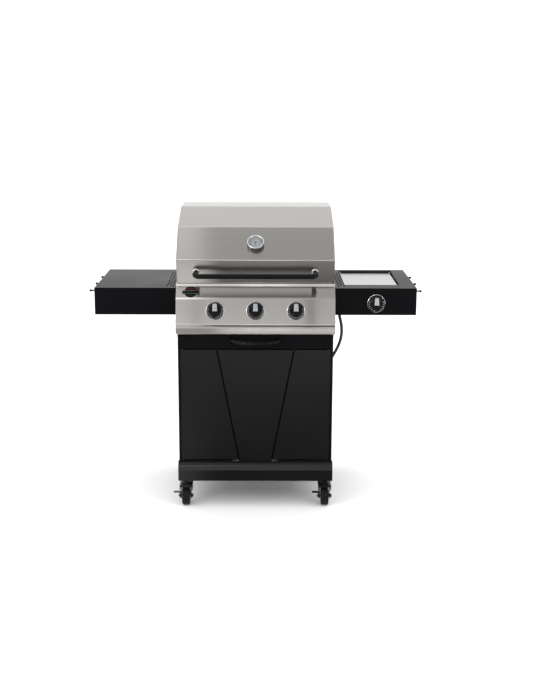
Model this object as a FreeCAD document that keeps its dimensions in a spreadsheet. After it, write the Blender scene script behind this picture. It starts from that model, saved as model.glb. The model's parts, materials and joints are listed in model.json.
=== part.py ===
"""Three-burner gas grill on a cabinet cart with a side burner, as a FreeCAD document.

Millimetres, +Z up, +X to the user's right, +Y away from the user.
The origin is on the floor, at the centre of the whole object's outline.
"""
import FreeCAD
import Part
import Sketcher
import math
import os

Vector = FreeCAD.Vector
Rotation = FreeCAD.Rotation
Placement = FreeCAD.Placement

# ---------------------------------------------------------------- driving dimensions
DIMENSIONS = {
    "lid_width": 610.0,
    "cap_width": 5.0,
    "lid_gauge": 1.5,
    "lid_bottom": 897.0,
    "lid_lip_front": -201.0,
    "lid_fold_low_front": -231.0,
    "lid_fold_low_height": 993.0,
    "lid_fold_mid_front": -112.0,
    "lid_fold_mid_height": 1105.0,
    "lid_fold_high_front": 82.0,
    "lid_top": 1164.4,
    "lid_top_rear": 270.0,
    "lid_back": 288.0,
    "lid_back_top": 1142.4,
    "hinge_back": 272.0,
    "hinge_height": 912.0,
    "cabinet_width": 607.0,
    "cabinet_front": -232.0,
    "cabinet_back": 262.0,
    "cabinet_top": 756.0,
    "sheet": 2.0,
    "door_sheet": 1.5,
    "door_depth": 18.0,
    "door_bottom": 190.0,
    "door_top": 639.0,
    "vee_top_half": 151.5,
    "vee_bottom_half": 64.5,
    "groove": 6.0,
    "drawer_bottom": 643.5,
    "drawer_top": 702.0,
    "base_bottom": 117.0,
    "base_top": 185.0,
    "plinth_width": 613.0,
    "plinth_front": -266.0,
    "plinth_bottom": 111.0,
    "plinth_top": 187.0,
    "plinth_round": 34.0,
    "firebox_width": 595.0,
    "firebox_front": -185.0,
    "firebox_back": 270.0,
    "firebox_bottom": 700.0,
    "firebox_top": 893.0,
    "panel_width": 618.0,
    "panel_sheet": 1.5,
    "panel_top_front": -187.0,
    "panel_top_height": 884.5,
    "panel_break_front": -223.0,
    "panel_break_height": 841.0,
    "panel_low_front": -249.0,
    "panel_low_height": 739.0,
    "panel_lip_front": -247.0,
    "panel_lip_rear": -236.0,
    "panel_lip_height": 704.0,
    "panel_return_height": 722.0,
    "shelf_inner": 310.0,
    "shelf_outer": 632.5,
    "shelf_front": -160.0,
    "shelf_back": 293.0,
    "shelf_bottom": 764.0,
    "shelf_top": 871.0,
    "knob_spacing": 156.5,
    "bezel_radius": 36.0,
    "knob_radius": 31.5,
    "stem_radius": 4.0,
    "running_gap": 0.05,
    "handle_radius": 9.6,
    "handle_half_span": 240.5,
    "handle_reach": 42.0,
    "handle_bend": 17.0,
    "handle_foot_lean": 11.0,
    "handle_foot_straight": 14.0,
    "handle_foot_bend": 20.0,
    "drawer_grip_half": 94.5,
    "drawer_grip_height": 678.5,
    "drawer_grip_reach": 52.5,
    "drawer_grip_radius": 8.5,
    "gauge_radius": 33.5,
    "burner_radius": 17.0,
    "burner_height": 780.0,
    "manifold_radius": 8.0,
    "caster_offset_x": 278.0,
    "caster_front": -207.0,
    "caster_back": 212.0,
    "caster_trail": 22.0,
    "fork_half_width": 26.0,
    "fork_leg_inside": 18.0,
    "fork_sheet": 3.0,
    "fork_top": 84.0,
    "wheel_radius": 36.0,
    "wheel_width": 31.0,
    "axle_radius": 4.0,
    "hose_diameter": 12.0,
}

doc = FreeCAD.newDocument("gas_grill")
sheet = doc.addObject("Spreadsheet::Sheet", "Dims")
for row, (alias, number) in enumerate(DIMENSIONS.items(), start=1):
    sheet.set(f"A{row}", str(number))
    sheet.setAlias(f"A{row}", alias)
doc.recompute()


def mm(alias):
    """The value of a cell of the sheet."""
    return float(sheet.get(alias))


def number_of(value):
    """The number that a bound value such as "Dims.lid_top" stands for."""
    return mm(value.removeprefix("Dims.")) if isinstance(value, str) else value


# ---------------------------------------------------------------- building helpers
nodes = []


def bind(target, prop, value):
    """Set a property to a number, or bind it to an expression on the sheet."""
    if isinstance(value, str):
        target.setExpression(prop, value)
    else:
        setattr(target, prop, value)


def box(size, corner, name="box"):
    """A block given by its size and its lowest corner."""
    block = doc.addObject("Part::Box", name)
    for prop, value in zip(("Length", "Width", "Height"), size):
        bind(block, prop, value)
    block.Placement = Placement(Vector(*corner), Rotation())
    return block


def span(x_range, y_range, z_range, name="block"):
    """A block given by its two limits along each axis."""
    size = [high - low for low, high in (x_range, y_range, z_range)]
    return box(size, (x_range[0], y_range[0], z_range[0]), name)


def rod(radius, length, start, direction=(0, 0, 1), name="rod"):
    """A round bar from a start point along a direction."""
    bar = doc.addObject("Part::Cylinder", name)
    bind(bar, "Radius", radius)
    bind(bar, "Height", length)
    bar.Placement = Placement(Vector(*start), Rotation(Vector(0, 0, 1), Vector(*direction)))
    return bar


def fuse(parts, name="joined"):
    joined = doc.addObject("Part::MultiFuse", name)
    joined.Shapes = parts
    return joined


def cut(base, tools, name="cut"):
    """The base with one tool or a list of tools taken away."""
    result = doc.addObject("Part::Cut", name)
    result.Base = base
    result.Tool = tools[0] if len(tools) == 1 else fuse(tools, name + "_tools")
    return result


def group(parts, name):
    """Several separate solids that share one node."""
    compound = doc.addObject("Part::Compound", name)
    compound.Links = parts
    return compound


def node(part, label):
    """Register a finished sub-part under its node name."""
    part.Label = label
    nodes.append(part)
    return part


def sketch_on(body, role, outline):
    """A closed sketch of straight edges and arcs, with its corners bound to the sheet.

    Each corner is (first, second), given as numbers or cells of the sheet. A third entry is the
    point that the edge leaving that corner passes through, which makes it an arc.
    """
    sketch = body.newObject("Sketcher::SketchObject", "outline")
    plane = [item for item in body.Origin.OriginFeatures if item.Role == role][0]
    sketch.AttachmentSupport = [(plane, "")]
    sketch.MapMode = "FlatFace"
    corners = [tuple(number_of(value) for value in corner[:2]) for corner in outline]
    count = len(corners)
    for index, corner in enumerate(outline):
        start = Vector(*corners[index], 0)
        end = Vector(*corners[(index + 1) % count], 0)
        if len(corner) == 3:
            sketch.addGeometry(Part.Arc(start, Vector(*corner[2], 0), end))
        else:
            sketch.addGeometry(Part.LineSegment(start, end))
    if any(len(corner) == 3 for corner in outline):
        return sketch
    for index in range(count):
        sketch.addConstraint(Sketcher.Constraint("Coincident", index, 2, (index + 1) % count, 1))
        for axis, kind in enumerate(("DistanceX", "DistanceY")):
            value = corners[index][axis]
            number = sketch.addConstraint(Sketcher.Constraint(kind, -1, 1, index, 1, value))
            if isinstance(outline[index][axis], str):
                sketch.renameConstraint(number, f"{kind}{index}")
                sketch.setExpression(f"Constraints.{kind}{index}", outline[index][axis])
    return sketch


def pad_body(name, role, outline, length, centred=False):
    """A body with one padded outline."""
    body = doc.addObject("PartDesign::Body", name)
    pad = body.newObject("PartDesign::Pad", "pad")
    pad.Profile = sketch_on(body, role, outline)
    if centred:
        pad.SideType = "Symmetric"
    bind(pad, "Length", length)
    body.Tip = pad
    doc.recompute()
    return body


def shell_body(body, gauge, is_open):
    """Hollow a padded body to sheet metal, leaving out the faces that is_open picks."""
    pad = body.Tip
    faces = [
        f"Face{index}"
        for index, face in enumerate(pad.Shape.Faces, start=1)
        if is_open(face.normalAt(0, 0), face.CenterOfMass)
    ]
    thickness = body.newObject("PartDesign::Thickness", "sheet_metal")
    thickness.Base = (pad, faces)
    thickness.Join = 1
    thickness.Reversed = True
    bind(thickness, "Value", gauge)
    body.Tip = thickness
    doc.recompute()
    return body


def turned_body(name, outline, placement=None):
    """A body turned about its own Z axis from an outline of (radius, height) corners."""
    body = doc.addObject("PartDesign::Body", name)
    sketch = sketch_on(body, "XZ_Plane", outline)
    turning = body.newObject("PartDesign::Revolution", "turning")
    turning.Profile = sketch
    turning.ReferenceAxis = (sketch, ["V_Axis"])
    turning.Angle = 360.0
    body.Tip = turning
    if placement:
        body.Placement = placement
    doc.recompute()
    return body


def tube_path(points, radii):
    """A wire of straight runs joined by tangent arcs, one radius for each inner point."""
    corners = [Vector(*point) for point in points]
    edges = []
    last = corners[0]
    for index, radius in enumerate(radii, start=1):
        back = (corners[index - 1] - corners[index]).normalize()
        ahead = (corners[index + 1] - corners[index]).normalize()
        half_turn = (math.pi - back.getAngle(ahead)) / 2
        reach = radius * math.tan(half_turn)
        start = corners[index] + back * reach
        end = corners[index] + ahead * reach
        inward = (back + ahead).normalize()
        middle = corners[index] + inward * (radius / math.cos(half_turn) - radius)
        edges.append(Part.LineSegment(last, start).toShape())
        edges.append(Part.Arc(start, middle, end).toShape())
        last = end
    edges.append(Part.LineSegment(last, corners[-1]).toShape())
    return Part.Wire(edges)


def round_tube(name, path, radius):
    """A solid round tube along a path, as a feature whose shape is swept here."""
    start = path.Edges[0].valueAt(path.Edges[0].FirstParameter)
    heading = path.Edges[0].tangentAt(path.Edges[0].FirstParameter)
    section = Part.Wire([Part.Circle(start, heading, radius).toShape()])
    tube = doc.addObject("Part::Feature", name)
    tube.Shape = path.makePipeShell([section], True, False)
    tube.Placement = Placement()
    return tube


def lean(normal_front, normal_up):
    """The rotation that turns +Z into a normal in the YZ plane and keeps X where it is."""
    return Rotation(Vector(1, 0, 0), math.degrees(math.atan2(-normal_front, normal_up)))


def both_sides(build):
    """The results of a function for the left (-1) and the right (+1) side."""
    return [build(-1), build(1)]


def mirrored_span(side, x_range, y_range, z_range, name="block"):
    """A block on the left or the right, from limits given for the right side."""
    low, high = sorted(side * value for value in x_range)
    return span((low, high), y_range, z_range, name)


# ---------------------------------------------------------------- cabinet
def build_base():
    """Welded base: a deck on two side strips and on front and back channels for the casters."""
    half = mm("cabinet_width") / 2 - mm("sheet")
    front, back = mm("cabinet_front"), mm("cabinet_back") - 4
    bottom, top, gauge = mm("base_bottom"), mm("base_top"), mm("sheet")
    channel, under_deck = 95.0, top - gauge
    across = (-half, half)
    strip_y, strip_z = (front + gauge, back - gauge), (bottom, under_deck)
    parts = [
        span(across, (front, back), (under_deck, top), "deck"),
        span(across, (front, front + gauge), (bottom, under_deck), "front_skirt"),
        span(across, (back - gauge, back), (bottom, under_deck), "back_skirt"),
    ]
    for foot_y in ((front + gauge, front + channel), (back - channel, back - gauge)):
        parts.append(span((gauge - half, half - gauge), foot_y, (bottom, bottom + gauge), "foot"))
    parts += [mirrored_span(side, (half - gauge, half), strip_y, strip_z, "strip") for side in (-1, 1)]
    node(group(parts, "base"), "base_shelf")


def build_plinth():
    """Rounded fascia across the foot of the cabinet."""
    front, round_radius = mm("plinth_front"), mm("plinth_round")
    back = mm("cabinet_front")
    centre_height = mm("plinth_top") - round_radius
    middle = round_radius * math.sqrt(0.5)
    outline = [
        (back, mm("plinth_bottom")),
        (back, mm("plinth_top"), (back - middle, centre_height + middle)),
        (front, centre_height),
        (front, mm("plinth_bottom")),
    ]
    body = pad_body("plinth", "YZ_Plane", outline, "Dims.plinth_width", centred=True)
    shell_body(body, "Dims.sheet", lambda normal, centre: abs(centre.y - back) < 0.1)
    node(body, "plinth_front")


def build_side_panel(side):
    """Side sheet with its front and rear returns; the right one has the hose cut-out."""
    outer = mm("cabinet_width") / 2
    front, back = mm("cabinet_front"), mm("cabinet_back")
    gauge, bottom, top = mm("sheet"), mm("base_bottom"), mm("cabinet_top")
    plate = mirrored_span(side, (outer - gauge, outer), (front + 2, back), (bottom, top))
    front_return = mirrored_span(
        side, (outer - 5.5, outer), (front, front + gauge), (mm("door_bottom"), top)
    )
    back_return = mirrored_span(
        side, (outer - 18, outer - gauge), (back - gauge, back), (mm("base_top"), 698)
    )
    panel = fuse([plate, front_return, back_return], "side_panel")
    if side < 0:
        return panel
    cut_out = mirrored_span(side, (outer - 5, outer + 5), (-62, -20), (522, 588), "hose_cut_out")
    return cut(panel, [cut_out], "right_side")


def build_back_panel():
    """Rear sheet with a row of vent slots and an opening for the gas hose."""
    half = mm("cabinet_width") / 2 - 19
    back, gauge = mm("cabinet_back"), mm("sheet")
    plate = span((-half, half), (back - gauge - 2, back - 2), (mm("base_top"), mm("firebox_bottom") - 10))
    slots = [
        span((x - 30, x + 30), (back - 10, back + 5), (z - 4, z + 4), "vent")
        for x in (-180, -90, 0, 90, 180)
        for z in (600, 625, 650)
    ]
    hose_gap = span((-60, 60), (back - 10, back + 5), (mm("base_top") - 5, 265), "hose_gap")
    node(cut(plate, slots + [hose_gap], "back"), "back_panel")


def build_cabinet_frame():
    """Corner posts, the rail over the doors with its hinge tabs, and the drawer runners."""
    parts = [span((-291, 291), (-212, -194), (628, 646), "rail")]
    for side in (-1, 1):
        parts.append(mirrored_span(side, (291, 301.5), (-212, -190), (mm("base_top"), 698), "post"))
        parts.append(mirrored_span(side, (279, 295), (-231, -211), (640.2, 642.4), "hinge_tab"))
        runner = mirrored_span(side, (264, 301.5), (-191, 240), (653, 655), "runner")
        parts.append(cut(runner, [rod(10, 20, (side * 281, -60, 645), name="tube_hole")]))
        parts.append(mirrored_span(side, (299.5, 301.5), (-191, 240), (655, 690), "runner_web"))
    node(fuse(parts, "frame"), "cabinet_frame")


def vee_half_width(height):
    """Half the width of the V groove's centre line at a height."""
    low, high = mm("plinth_top"), mm("drawer_bottom") - 2
    share = (height - low) / (high - low)
    return mm("vee_bottom_half") + share * (mm("vee_top_half") - mm("vee_bottom_half"))


def build_centre_panel():
    """The fixed trapezium between the doors."""
    low, high = mm("plinth_top") + 0.5, mm("door_top")
    gap = mm("groove") / 2
    bottom, top = vee_half_width(low) - gap, vee_half_width(high) - gap
    outline = [(-bottom, low), (bottom, low), (top, high), (-top, high)]
    body = pad_body("centre", "XZ_Plane", outline, 20.0)
    body.Placement = Placement(Vector(0, mm("cabinet_front") + 20, 0), Rotation())
    shell_body(body, "Dims.door_sheet", lambda normal, centre: normal.y > 0.9)
    node(body, "centre_panel")


DOOR_PIN = (287.0, -225.0)


def build_door(side, label):
    """A hollow door whose inner edge follows the V, pivoting on two pins."""
    low, high, outer = mm("door_bottom"), mm("door_top"), 293.5
    gap = mm("groove") / 2
    outline = [
        (side * outer, low),
        (side * outer, high),
        (side * (vee_half_width(high) + gap), high),
        (side * (vee_half_width(low) + gap), low),
    ]
    body = pad_body(label + "_sheet", "XZ_Plane", outline, "Dims.door_depth")
    body.Placement = Placement(Vector(0, mm("cabinet_front") + mm("door_depth"), 0), Rotation())
    shell_body(body, "Dims.door_sheet", lambda normal, centre: normal.y > 0.9)
    hole_radius = 3 + mm("running_gap")
    holes = [
        rod(hole_radius, 20, (side * DOOR_PIN[0], DOOR_PIN[1], z - 10), name="pin_hole")
        for z in (low, high)
    ]
    node(cut(body, holes, label + "_cut"), label)


def build_door_hardware():
    """The four hinge pins and the two catch plates at the foot of the V."""
    parts = []
    for side in (-1, 1):
        x, y = side * DOOR_PIN[0], DOOR_PIN[1]
        parts.append(rod(3, 15, (x, y, mm("base_top")), name="lower_pin"))
        parts.append(rod(3, 12.2, (x, y, 628), name="upper_pin"))
        parts.append(mirrored_span(side, (64, 89), (-240, -232.8), (187.2, 189.6), "catch"))
    node(group(parts, "hardware"), "door_hardware")


def build_drawer():
    """Drip-tray drawer: hollow front, tray and bow handle."""
    front = mm("cabinet_front")
    outline = [
        (-294.5, "Dims.drawer_bottom"),
        (294.5, "Dims.drawer_bottom"),
        (294.5, "Dims.drawer_top"),
        (-294.5, "Dims.drawer_top"),
    ]
    face = pad_body("drawer_face", "XZ_Plane", outline, "Dims.door_depth")
    face.Placement = Placement(Vector(0, front + mm("door_depth"), 0), Rotation())
    shell_body(face, "Dims.door_sheet", lambda normal, centre: normal.y > 0.9)
    node(face, "drip_tray_front")

    tray_outline = [(-270, -214), (270, -214), (270, 236), (-270, 236)]
    tray = pad_body("tray", "XY_Plane", tray_outline, 34.0)
    tray.Placement = Placement(Vector(0, 0, 655.4), Rotation())
    shell_body(tray, 1.2, lambda normal, centre: normal.z > 0.9)
    node(tray, "drip_tray")

    half, height, reach = mm("drawer_grip_half"), mm("drawer_grip_height"), mm("drawer_grip_reach")
    inset, drop = 6.0, 6.0
    bow = Part.Arc(
        Vector(-half, front - inset, height),
        Vector(0, front - reach, height - drop),
        Vector(half, front - inset, height),
    )
    legs = [rod(7, inset + 2, (side * half, front, height), (0, -1, 0), "foot") for side in (-1, 1)]
    bar = round_tube("bow", Part.Wire([bow.toShape()]), mm("drawer_grip_radius"))
    node(fuse([bar] + legs, "drawer_grip"), "drawer_handle")


# ---------------------------------------------------------------- firebox and burners
def build_firebox():
    """Open-topped cooking box with ledges and a grease outlet."""
    half = mm("firebox_width") / 2
    front, back = mm("firebox_front"), mm("firebox_back")
    bottom, top, gauge = mm("firebox_bottom"), mm("firebox_top"), mm("sheet")
    outline = [(-half, front), (half, front), (half, back), (-half, back)]
    tub = pad_body("tub", "XY_Plane", outline, top - bottom)
    tub.Placement = Placement(Vector(0, 0, bottom), Rotation())
    shell_body(tub, "Dims.sheet", lambda normal, centre: normal.z > 0.9)
    ledges = []
    for height in (808, 860):
        ledges.append(span((-half + gauge, half - gauge), (front + gauge, front + 16), (height, height + 2)))
        ledges.append(span((-half + gauge, half - gauge), (back - 16, back - gauge), (height, height + 2)))
    openings = [span((-60, 60), (-20, 100), (bottom - 5, bottom + 5), "grease_outlet")]
    for x in knob_positions():
        openings.append(rod(11.5, 20, (x, front - 10, mm("burner_height")), (0, 1, 0), "burner_hole"))
    node(cut(fuse([tub] + ledges, "tub_with_ledges"), openings, "cooking_box"), "firebox")


def knob_positions():
    return [-mm("knob_spacing"), 0.0, mm("knob_spacing")]


def build_burners():
    """Three tube burners, each with a narrow throat through the front wall."""
    burners = []
    for x in knob_positions():
        height = mm("burner_height")
        throat = rod(9.0, 40, (x, -189, height), (0, 1, 0), "throat")
        flare = doc.addObject("Part::Cone", "flare")
        flare.Radius1 = 9.0
        bind(flare, "Radius2", "Dims.burner_radius")
        flare.Height = 30.0
        flare.Placement = Placement(Vector(x, -149, height), Rotation(Vector(0, 0, 1), Vector(0, 1, 0)))
        barrel = rod("Dims.burner_radius", 380.0, (x, -119, height), (0, 1, 0), "barrel")
        burners.append(fuse([throat, flare, barrel], "burner"))
    node(group(burners, "burner_set"), "burners")


def build_flame_tamers():
    """Three bent sheets over the burners, resting on the lower ledges."""
    half, rise, gauge, low = 62.0, 30.0, 1.5, 810.0
    parts = []
    for x in knob_positions():
        outline = [
            (x - half, low),
            (x, low + rise),
            (x + half, low),
            (x + half - 3, low),
            (x, low + rise - gauge * 1.2),
            (x - half + 3, low),
        ]
        tamer = pad_body("tamer", "XZ_Plane", outline, 444.0)
        tamer.Placement = Placement(Vector(0, mm("firebox_back") - 5.5, 0), Rotation())
        parts.append(tamer)
    node(group(parts, "tamers"), "flame_tamers")


def build_cooking_grates():
    """Three cast grates side by side on the upper ledges."""
    width, pitch, bar = 193.0, 21.0, 8.0
    low, high = 862.0, 874.0
    front, back = mm("firebox_front") + 5, mm("firebox_back") - 5
    grates = []
    for centre in (-196.0, 0.0, 196.0):
        bars = []
        for index in range(9):
            x = centre + (index - 4) * pitch
            bars.append(span((x - bar / 2, x + bar / 2), (front, back), (low, high), "bar"))
        for y in (front + 4, (front + back) / 2, back - 4):
            reach = width / 2 - 4
            bars.append(span((centre - reach, centre + reach), (y - 4, y + 4), (low, high - 2)))
        grates.append(fuse(bars, "grate"))
    node(group(grates, "grates"), "cooking_grates")


def build_warming_rack():
    """Wire shelf on two side plates inside the lid."""
    height, radius = 1006.0, 3.0
    inner = mm("firebox_width") / 2 - mm("sheet")
    plate_gauge, cross_height = 2.0, height - 2 * radius + 1
    wire_length, start = 2 * (inner - plate_gauge), -inner + plate_gauge
    parts = [rod(radius, wire_length, (start, y, height), (1, 0, 0), "wire") for y in range(90, 231, 20)]
    parts += [rod(radius, 160, (x, 80, cross_height), (0, 1, 0), "cross_wire") for x in (-180, 0, 180)]
    for side in (-1, 1):
        x_range = (inner - plate_gauge, inner)
        parts.append(mirrored_span(side, x_range, (84, 236), (866, height + 5), "side_plate"))
    node(fuse(parts, "rack"), "warming_rack")


def build_lid_hinge():
    """Ears on the firebox with the pins that the lid turns on."""
    inner = mm("firebox_width") / 2 - mm("sheet")
    back, height = mm("hinge_back"), mm("hinge_height")
    parts = []
    for side in (-1, 1):
        ear = mirrored_span(side, (inner - 3, inner), (248, 267), (868, 924), "ear")
        nose = mirrored_span(side, (inner - 3, inner), (267, 277), (904, 920), "nose")
        pin = rod(4.0, 12.5, (side * (inner - 2), back, height), (side, 0, 0), "pin")
        parts.append(fuse([ear, nose, pin], "bracket"))
    node(group(parts, "brackets"), "lid_hinge_brackets")


# ---------------------------------------------------------------- lid
def lid_profile():
    """The lid's side outline, from its lower front lip round to its back."""
    return [
        ("Dims.lid_lip_front", "Dims.lid_bottom"),
        ("Dims.lid_fold_low_front", "Dims.lid_fold_low_height"),
        ("Dims.lid_fold_mid_front", "Dims.lid_fold_mid_height"),
        ("Dims.lid_fold_high_front", "Dims.lid_top"),
        ("Dims.lid_top_rear", "Dims.lid_top"),
        ("Dims.lid_back", "Dims.lid_back_top"),
        ("Dims.lid_back", "Dims.lid_bottom"),
    ]


def build_lid_skin():
    """The folded stainless sheet between the two end caps."""
    body = pad_body("skin", "YZ_Plane", lid_profile(), "Dims.lid_width - 2 * Dims.cap_width", centred=True)
    shell_body(body, "Dims.lid_gauge", lambda normal, centre: abs(normal.x) > 0.9 or normal.z < -0.9)
    back = mm("lid_back")
    hinge_relief = span((-300, 300), (back - 5, back + 5), (mm("lid_bottom") - 5, 916), "hinge_relief")
    probe_hole = rod(3.4, 20, gauge_point(-10), gauge_normal(), "probe_hole")
    screw_holes = [rod(3.2, 20, handle_point(x, -10), handle_normal(), "screw_hole") for x in handle_feet()]
    node(cut(body, [hinge_relief, probe_hole] + screw_holes, "lid_sheet"), "lid_skin")


def build_lid_end_caps():
    """The two closing plates with a flange round the skin's edge."""
    half, width = mm("lid_width") / 2, mm("cap_width")

    def cap(side):
        body = pad_body("cap", "YZ_Plane", lid_profile(), "Dims.cap_width")
        body.Placement = Placement(Vector(half - width if side > 0 else -half, 0, 0), Rotation())
        shell_body(body, "Dims.lid_gauge", lambda normal, centre: normal.x * side < -0.9)
        bore = rod(4 + mm("running_gap"), 20, (side * (half - 10), *hinge_axis()), (side, 0, 0), "hinge_bore")
        return cut(body, [bore], "end_cap")

    node(group(both_sides(cap), "caps"), "lid_end_caps")


def hinge_axis():
    return mm("hinge_back"), mm("hinge_height")


def facet(lower, upper, share):
    """A point part of the way up a facet, and the facet's outward normal, as (y, z) pairs."""
    run, rise = upper[0] - lower[0], upper[1] - lower[1]
    length = math.hypot(run, rise)
    point = (lower[0] + share * run, lower[1] + share * rise)
    return point, (-rise / length, run / length)


def offset_point(x, point, normal, distance):
    return (x, point[0] + normal[0] * distance, point[1] + normal[1] * distance)


LIP = (mm("lid_lip_front"), mm("lid_bottom"))
FOLD_LOW = (mm("lid_fold_low_front"), mm("lid_fold_low_height"))
FOLD_MID = (mm("lid_fold_mid_front"), mm("lid_fold_mid_height"))
HANDLE_POINT, HANDLE_NORMAL = facet(LIP, FOLD_LOW, 0.5)
GAUGE_POINT, GAUGE_NORMAL = facet(FOLD_LOW, FOLD_MID, 0.455)


def handle_feet():
    foot = mm("handle_half_span") - mm("handle_foot_lean")
    return (-foot, foot)


def handle_point(x, distance):
    return offset_point(x, HANDLE_POINT, HANDLE_NORMAL, distance)


def handle_normal():
    return (0, *HANDLE_NORMAL)


def gauge_point(distance):
    return offset_point(0, GAUGE_POINT, GAUGE_NORMAL, distance)


def gauge_normal():
    return (0, *GAUGE_NORMAL)


def build_lid_handle():
    """Grip of round tube whose ends hook back to the lid, with a washer at each foot."""
    washer, reach, straight = 5.0, mm("handle_reach"), mm("handle_foot_straight")
    left, right = handle_feet()
    span = mm("handle_half_span")
    route = [
        handle_point(left, washer),
        handle_point(left, straight),
        handle_point(-span, reach),
        handle_point(span, reach),
        handle_point(right, straight),
        handle_point(right, washer),
    ]
    foot_bend, bend = mm("handle_foot_bend"), mm("handle_bend")
    path = tube_path(route, [foot_bend, bend, bend, foot_bend])
    node(round_tube("grip", path, mm("handle_radius")), "lid_handle")
    washers = [rod(13.0, washer, handle_point(x, 0), handle_normal(), "washer") for x in handle_feet()]
    node(group(washers, "washers"), "handle_bezels")


def build_thermometer():
    """Case with its probe, dial and needle."""
    tilt = Placement(Vector(*gauge_point(0)), lean(*GAUGE_NORMAL))
    case_outline = [
        (0, -40),
        (3, -40),
        (3, 0),
        (32, 0),
        ("Dims.gauge_radius", 2),
        ("Dims.gauge_radius", 17),
        (31.5, 20),
        (29, 20),
        (29, 13),
        (0, 13),
    ]
    node(turned_body("case", case_outline, tilt), "thermometer_case")
    dial = turned_body("dial", [(0, 13), (28.7, 13), (28.7, 14), (1, 14), (1, 17.5), (0, 17.5)], tilt)
    node(dial, "thermometer_dial")
    needle = fuse([rod(3, 1, (0, 0, 15), name="hub"), box((3, 40, 1), (-1.5, -20, 15), "pointer")], "needle")
    needle = cut(needle, [rod(1 + mm("running_gap"), 6, (0, 0, 13), name="needle_bore")])
    needle.Placement = tilt
    node(needle, "thermometer_needle")


# ---------------------------------------------------------------- control panel and knobs
PANEL_TOP = (mm("panel_top_front"), mm("panel_top_height"))
PANEL_BREAK = (mm("panel_break_front"), mm("panel_break_height"))
PANEL_LOW = (mm("panel_low_front"), mm("panel_low_height"))
KNOB_POINT, KNOB_NORMAL = facet(PANEL_LOW, PANEL_BREAK, 0.544)
BADGE_POINT, BADGE_NORMAL = facet(PANEL_BREAK, PANEL_TOP, 0.51)
SIDE_KNOB = (473.5, mm("shelf_front"), 812.5)


def knob_frames():
    """Name and placement of each knob's seat, with +Z pointing out at the user."""
    names = ("left", "centre", "right")
    frames = [
        (name, Placement(Vector(x, *KNOB_POINT), lean(*KNOB_NORMAL)))
        for name, x in zip(names, knob_positions())
    ]
    frames.append(("side", Placement(Vector(*SIDE_KNOB), lean(-1, 0))))
    return frames


def build_control_panel():
    """Folded stainless fascia with closed ends, a lip below, a riser on top and three stem holes."""
    outline = [
        ("Dims.panel_top_front", "Dims.panel_top_height"),
        ("Dims.panel_break_front", "Dims.panel_break_height"),
        ("Dims.panel_low_front", "Dims.panel_low_height"),
        ("Dims.panel_lip_front", "Dims.panel_lip_height"),
        ("Dims.panel_lip_rear", "Dims.panel_lip_height"),
        ("Dims.panel_top_front", "Dims.panel_return_height"),
    ]
    body = pad_body("fascia", "YZ_Plane", outline, "Dims.panel_width", centred=True)
    shell_body(body, "Dims.panel_sheet", lambda normal, centre: normal.y > 0.3)
    holes = []
    for _, seat in knob_frames()[:3]:
        hole = rod(7, 30, (0, 0, -15), name="stem_hole")
        hole.Placement = seat.multiply(hole.Placement)
        holes.append(hole)
    half, gauge, back = mm("panel_width") / 2, mm("panel_sheet"), mm("panel_top_front")
    riser_top = mm("firebox_top") + 1.7
    riser = span((-half, half), (back - gauge, back), (mm("panel_top_height") - 8, riser_top), "riser")
    cover_strip = span((-half, half), (back, back + 9), (riser_top - gauge, riser_top), "cover_strip")
    node(cut(fuse([body, riser, cover_strip], "fascia_with_riser"), holes, "fascia_cut"), "control_panel")


def build_badge():
    """Plain round plate crossed by a plain band."""
    seat = Placement(Vector(-252, *BADGE_POINT), lean(*BADGE_NORMAL))
    disc = rod(22, 2, (0, 0, 0), name="disc")
    band = box((64, 15, 3.2), (-32, -9, 0), "band")
    badge = fuse([disc, band], "badge_plate")
    badge.Placement = seat
    node(badge, "badge")


def build_knobs():
    """Bezels, valves, sprung stems and knobs, all on the same four seats."""
    gap, stem_radius = mm("running_gap"), mm("stem_radius")
    bezels, valves = [], []
    bezel_outline = [
        (32.5, 0), ("Dims.bezel_radius", 0), ("Dims.bezel_radius", 7), (35, 9), (33.5, 10), (32.5, 9)
    ]
    valve_outline = [
        (0, -44), (11, -44), (11, -9), (stem_radius + gap, -9), (stem_radius + gap, -33), (0, -33)
    ]
    knob_outline = [
        (stem_radius + gap, 6), ("Dims.knob_radius", 6), ("Dims.knob_radius", 13), (27, 18),
        (0, 18), (0, 15), (stem_radius + gap, 15),
    ]
    for name, seat in knob_frames():
        bezels.append(turned_body("bezel_" + name, bezel_outline, seat))
        valves.append(turned_body("valve_" + name, valve_outline, seat))
        stem = rod("Dims.stem_radius", 40.0, (0, 0, -26), name="stem")
        stem.Placement = seat.multiply(stem.Placement)
        node(stem, f"{name}_valve_stem")
        base = turned_body("knob_base_" + name, knob_outline)
        grip = box((15, 48, 18.5), (-7.5, -24, 17.5), "grip")
        knob = fuse([base, grip], "knob_" + name)
        knob.Placement = seat
        node(knob, f"{name}_knob")
    node(group(bezels, "bezels"), "knob_bezels")
    node(group(valves, "valves"), "gas_valves")


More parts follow.
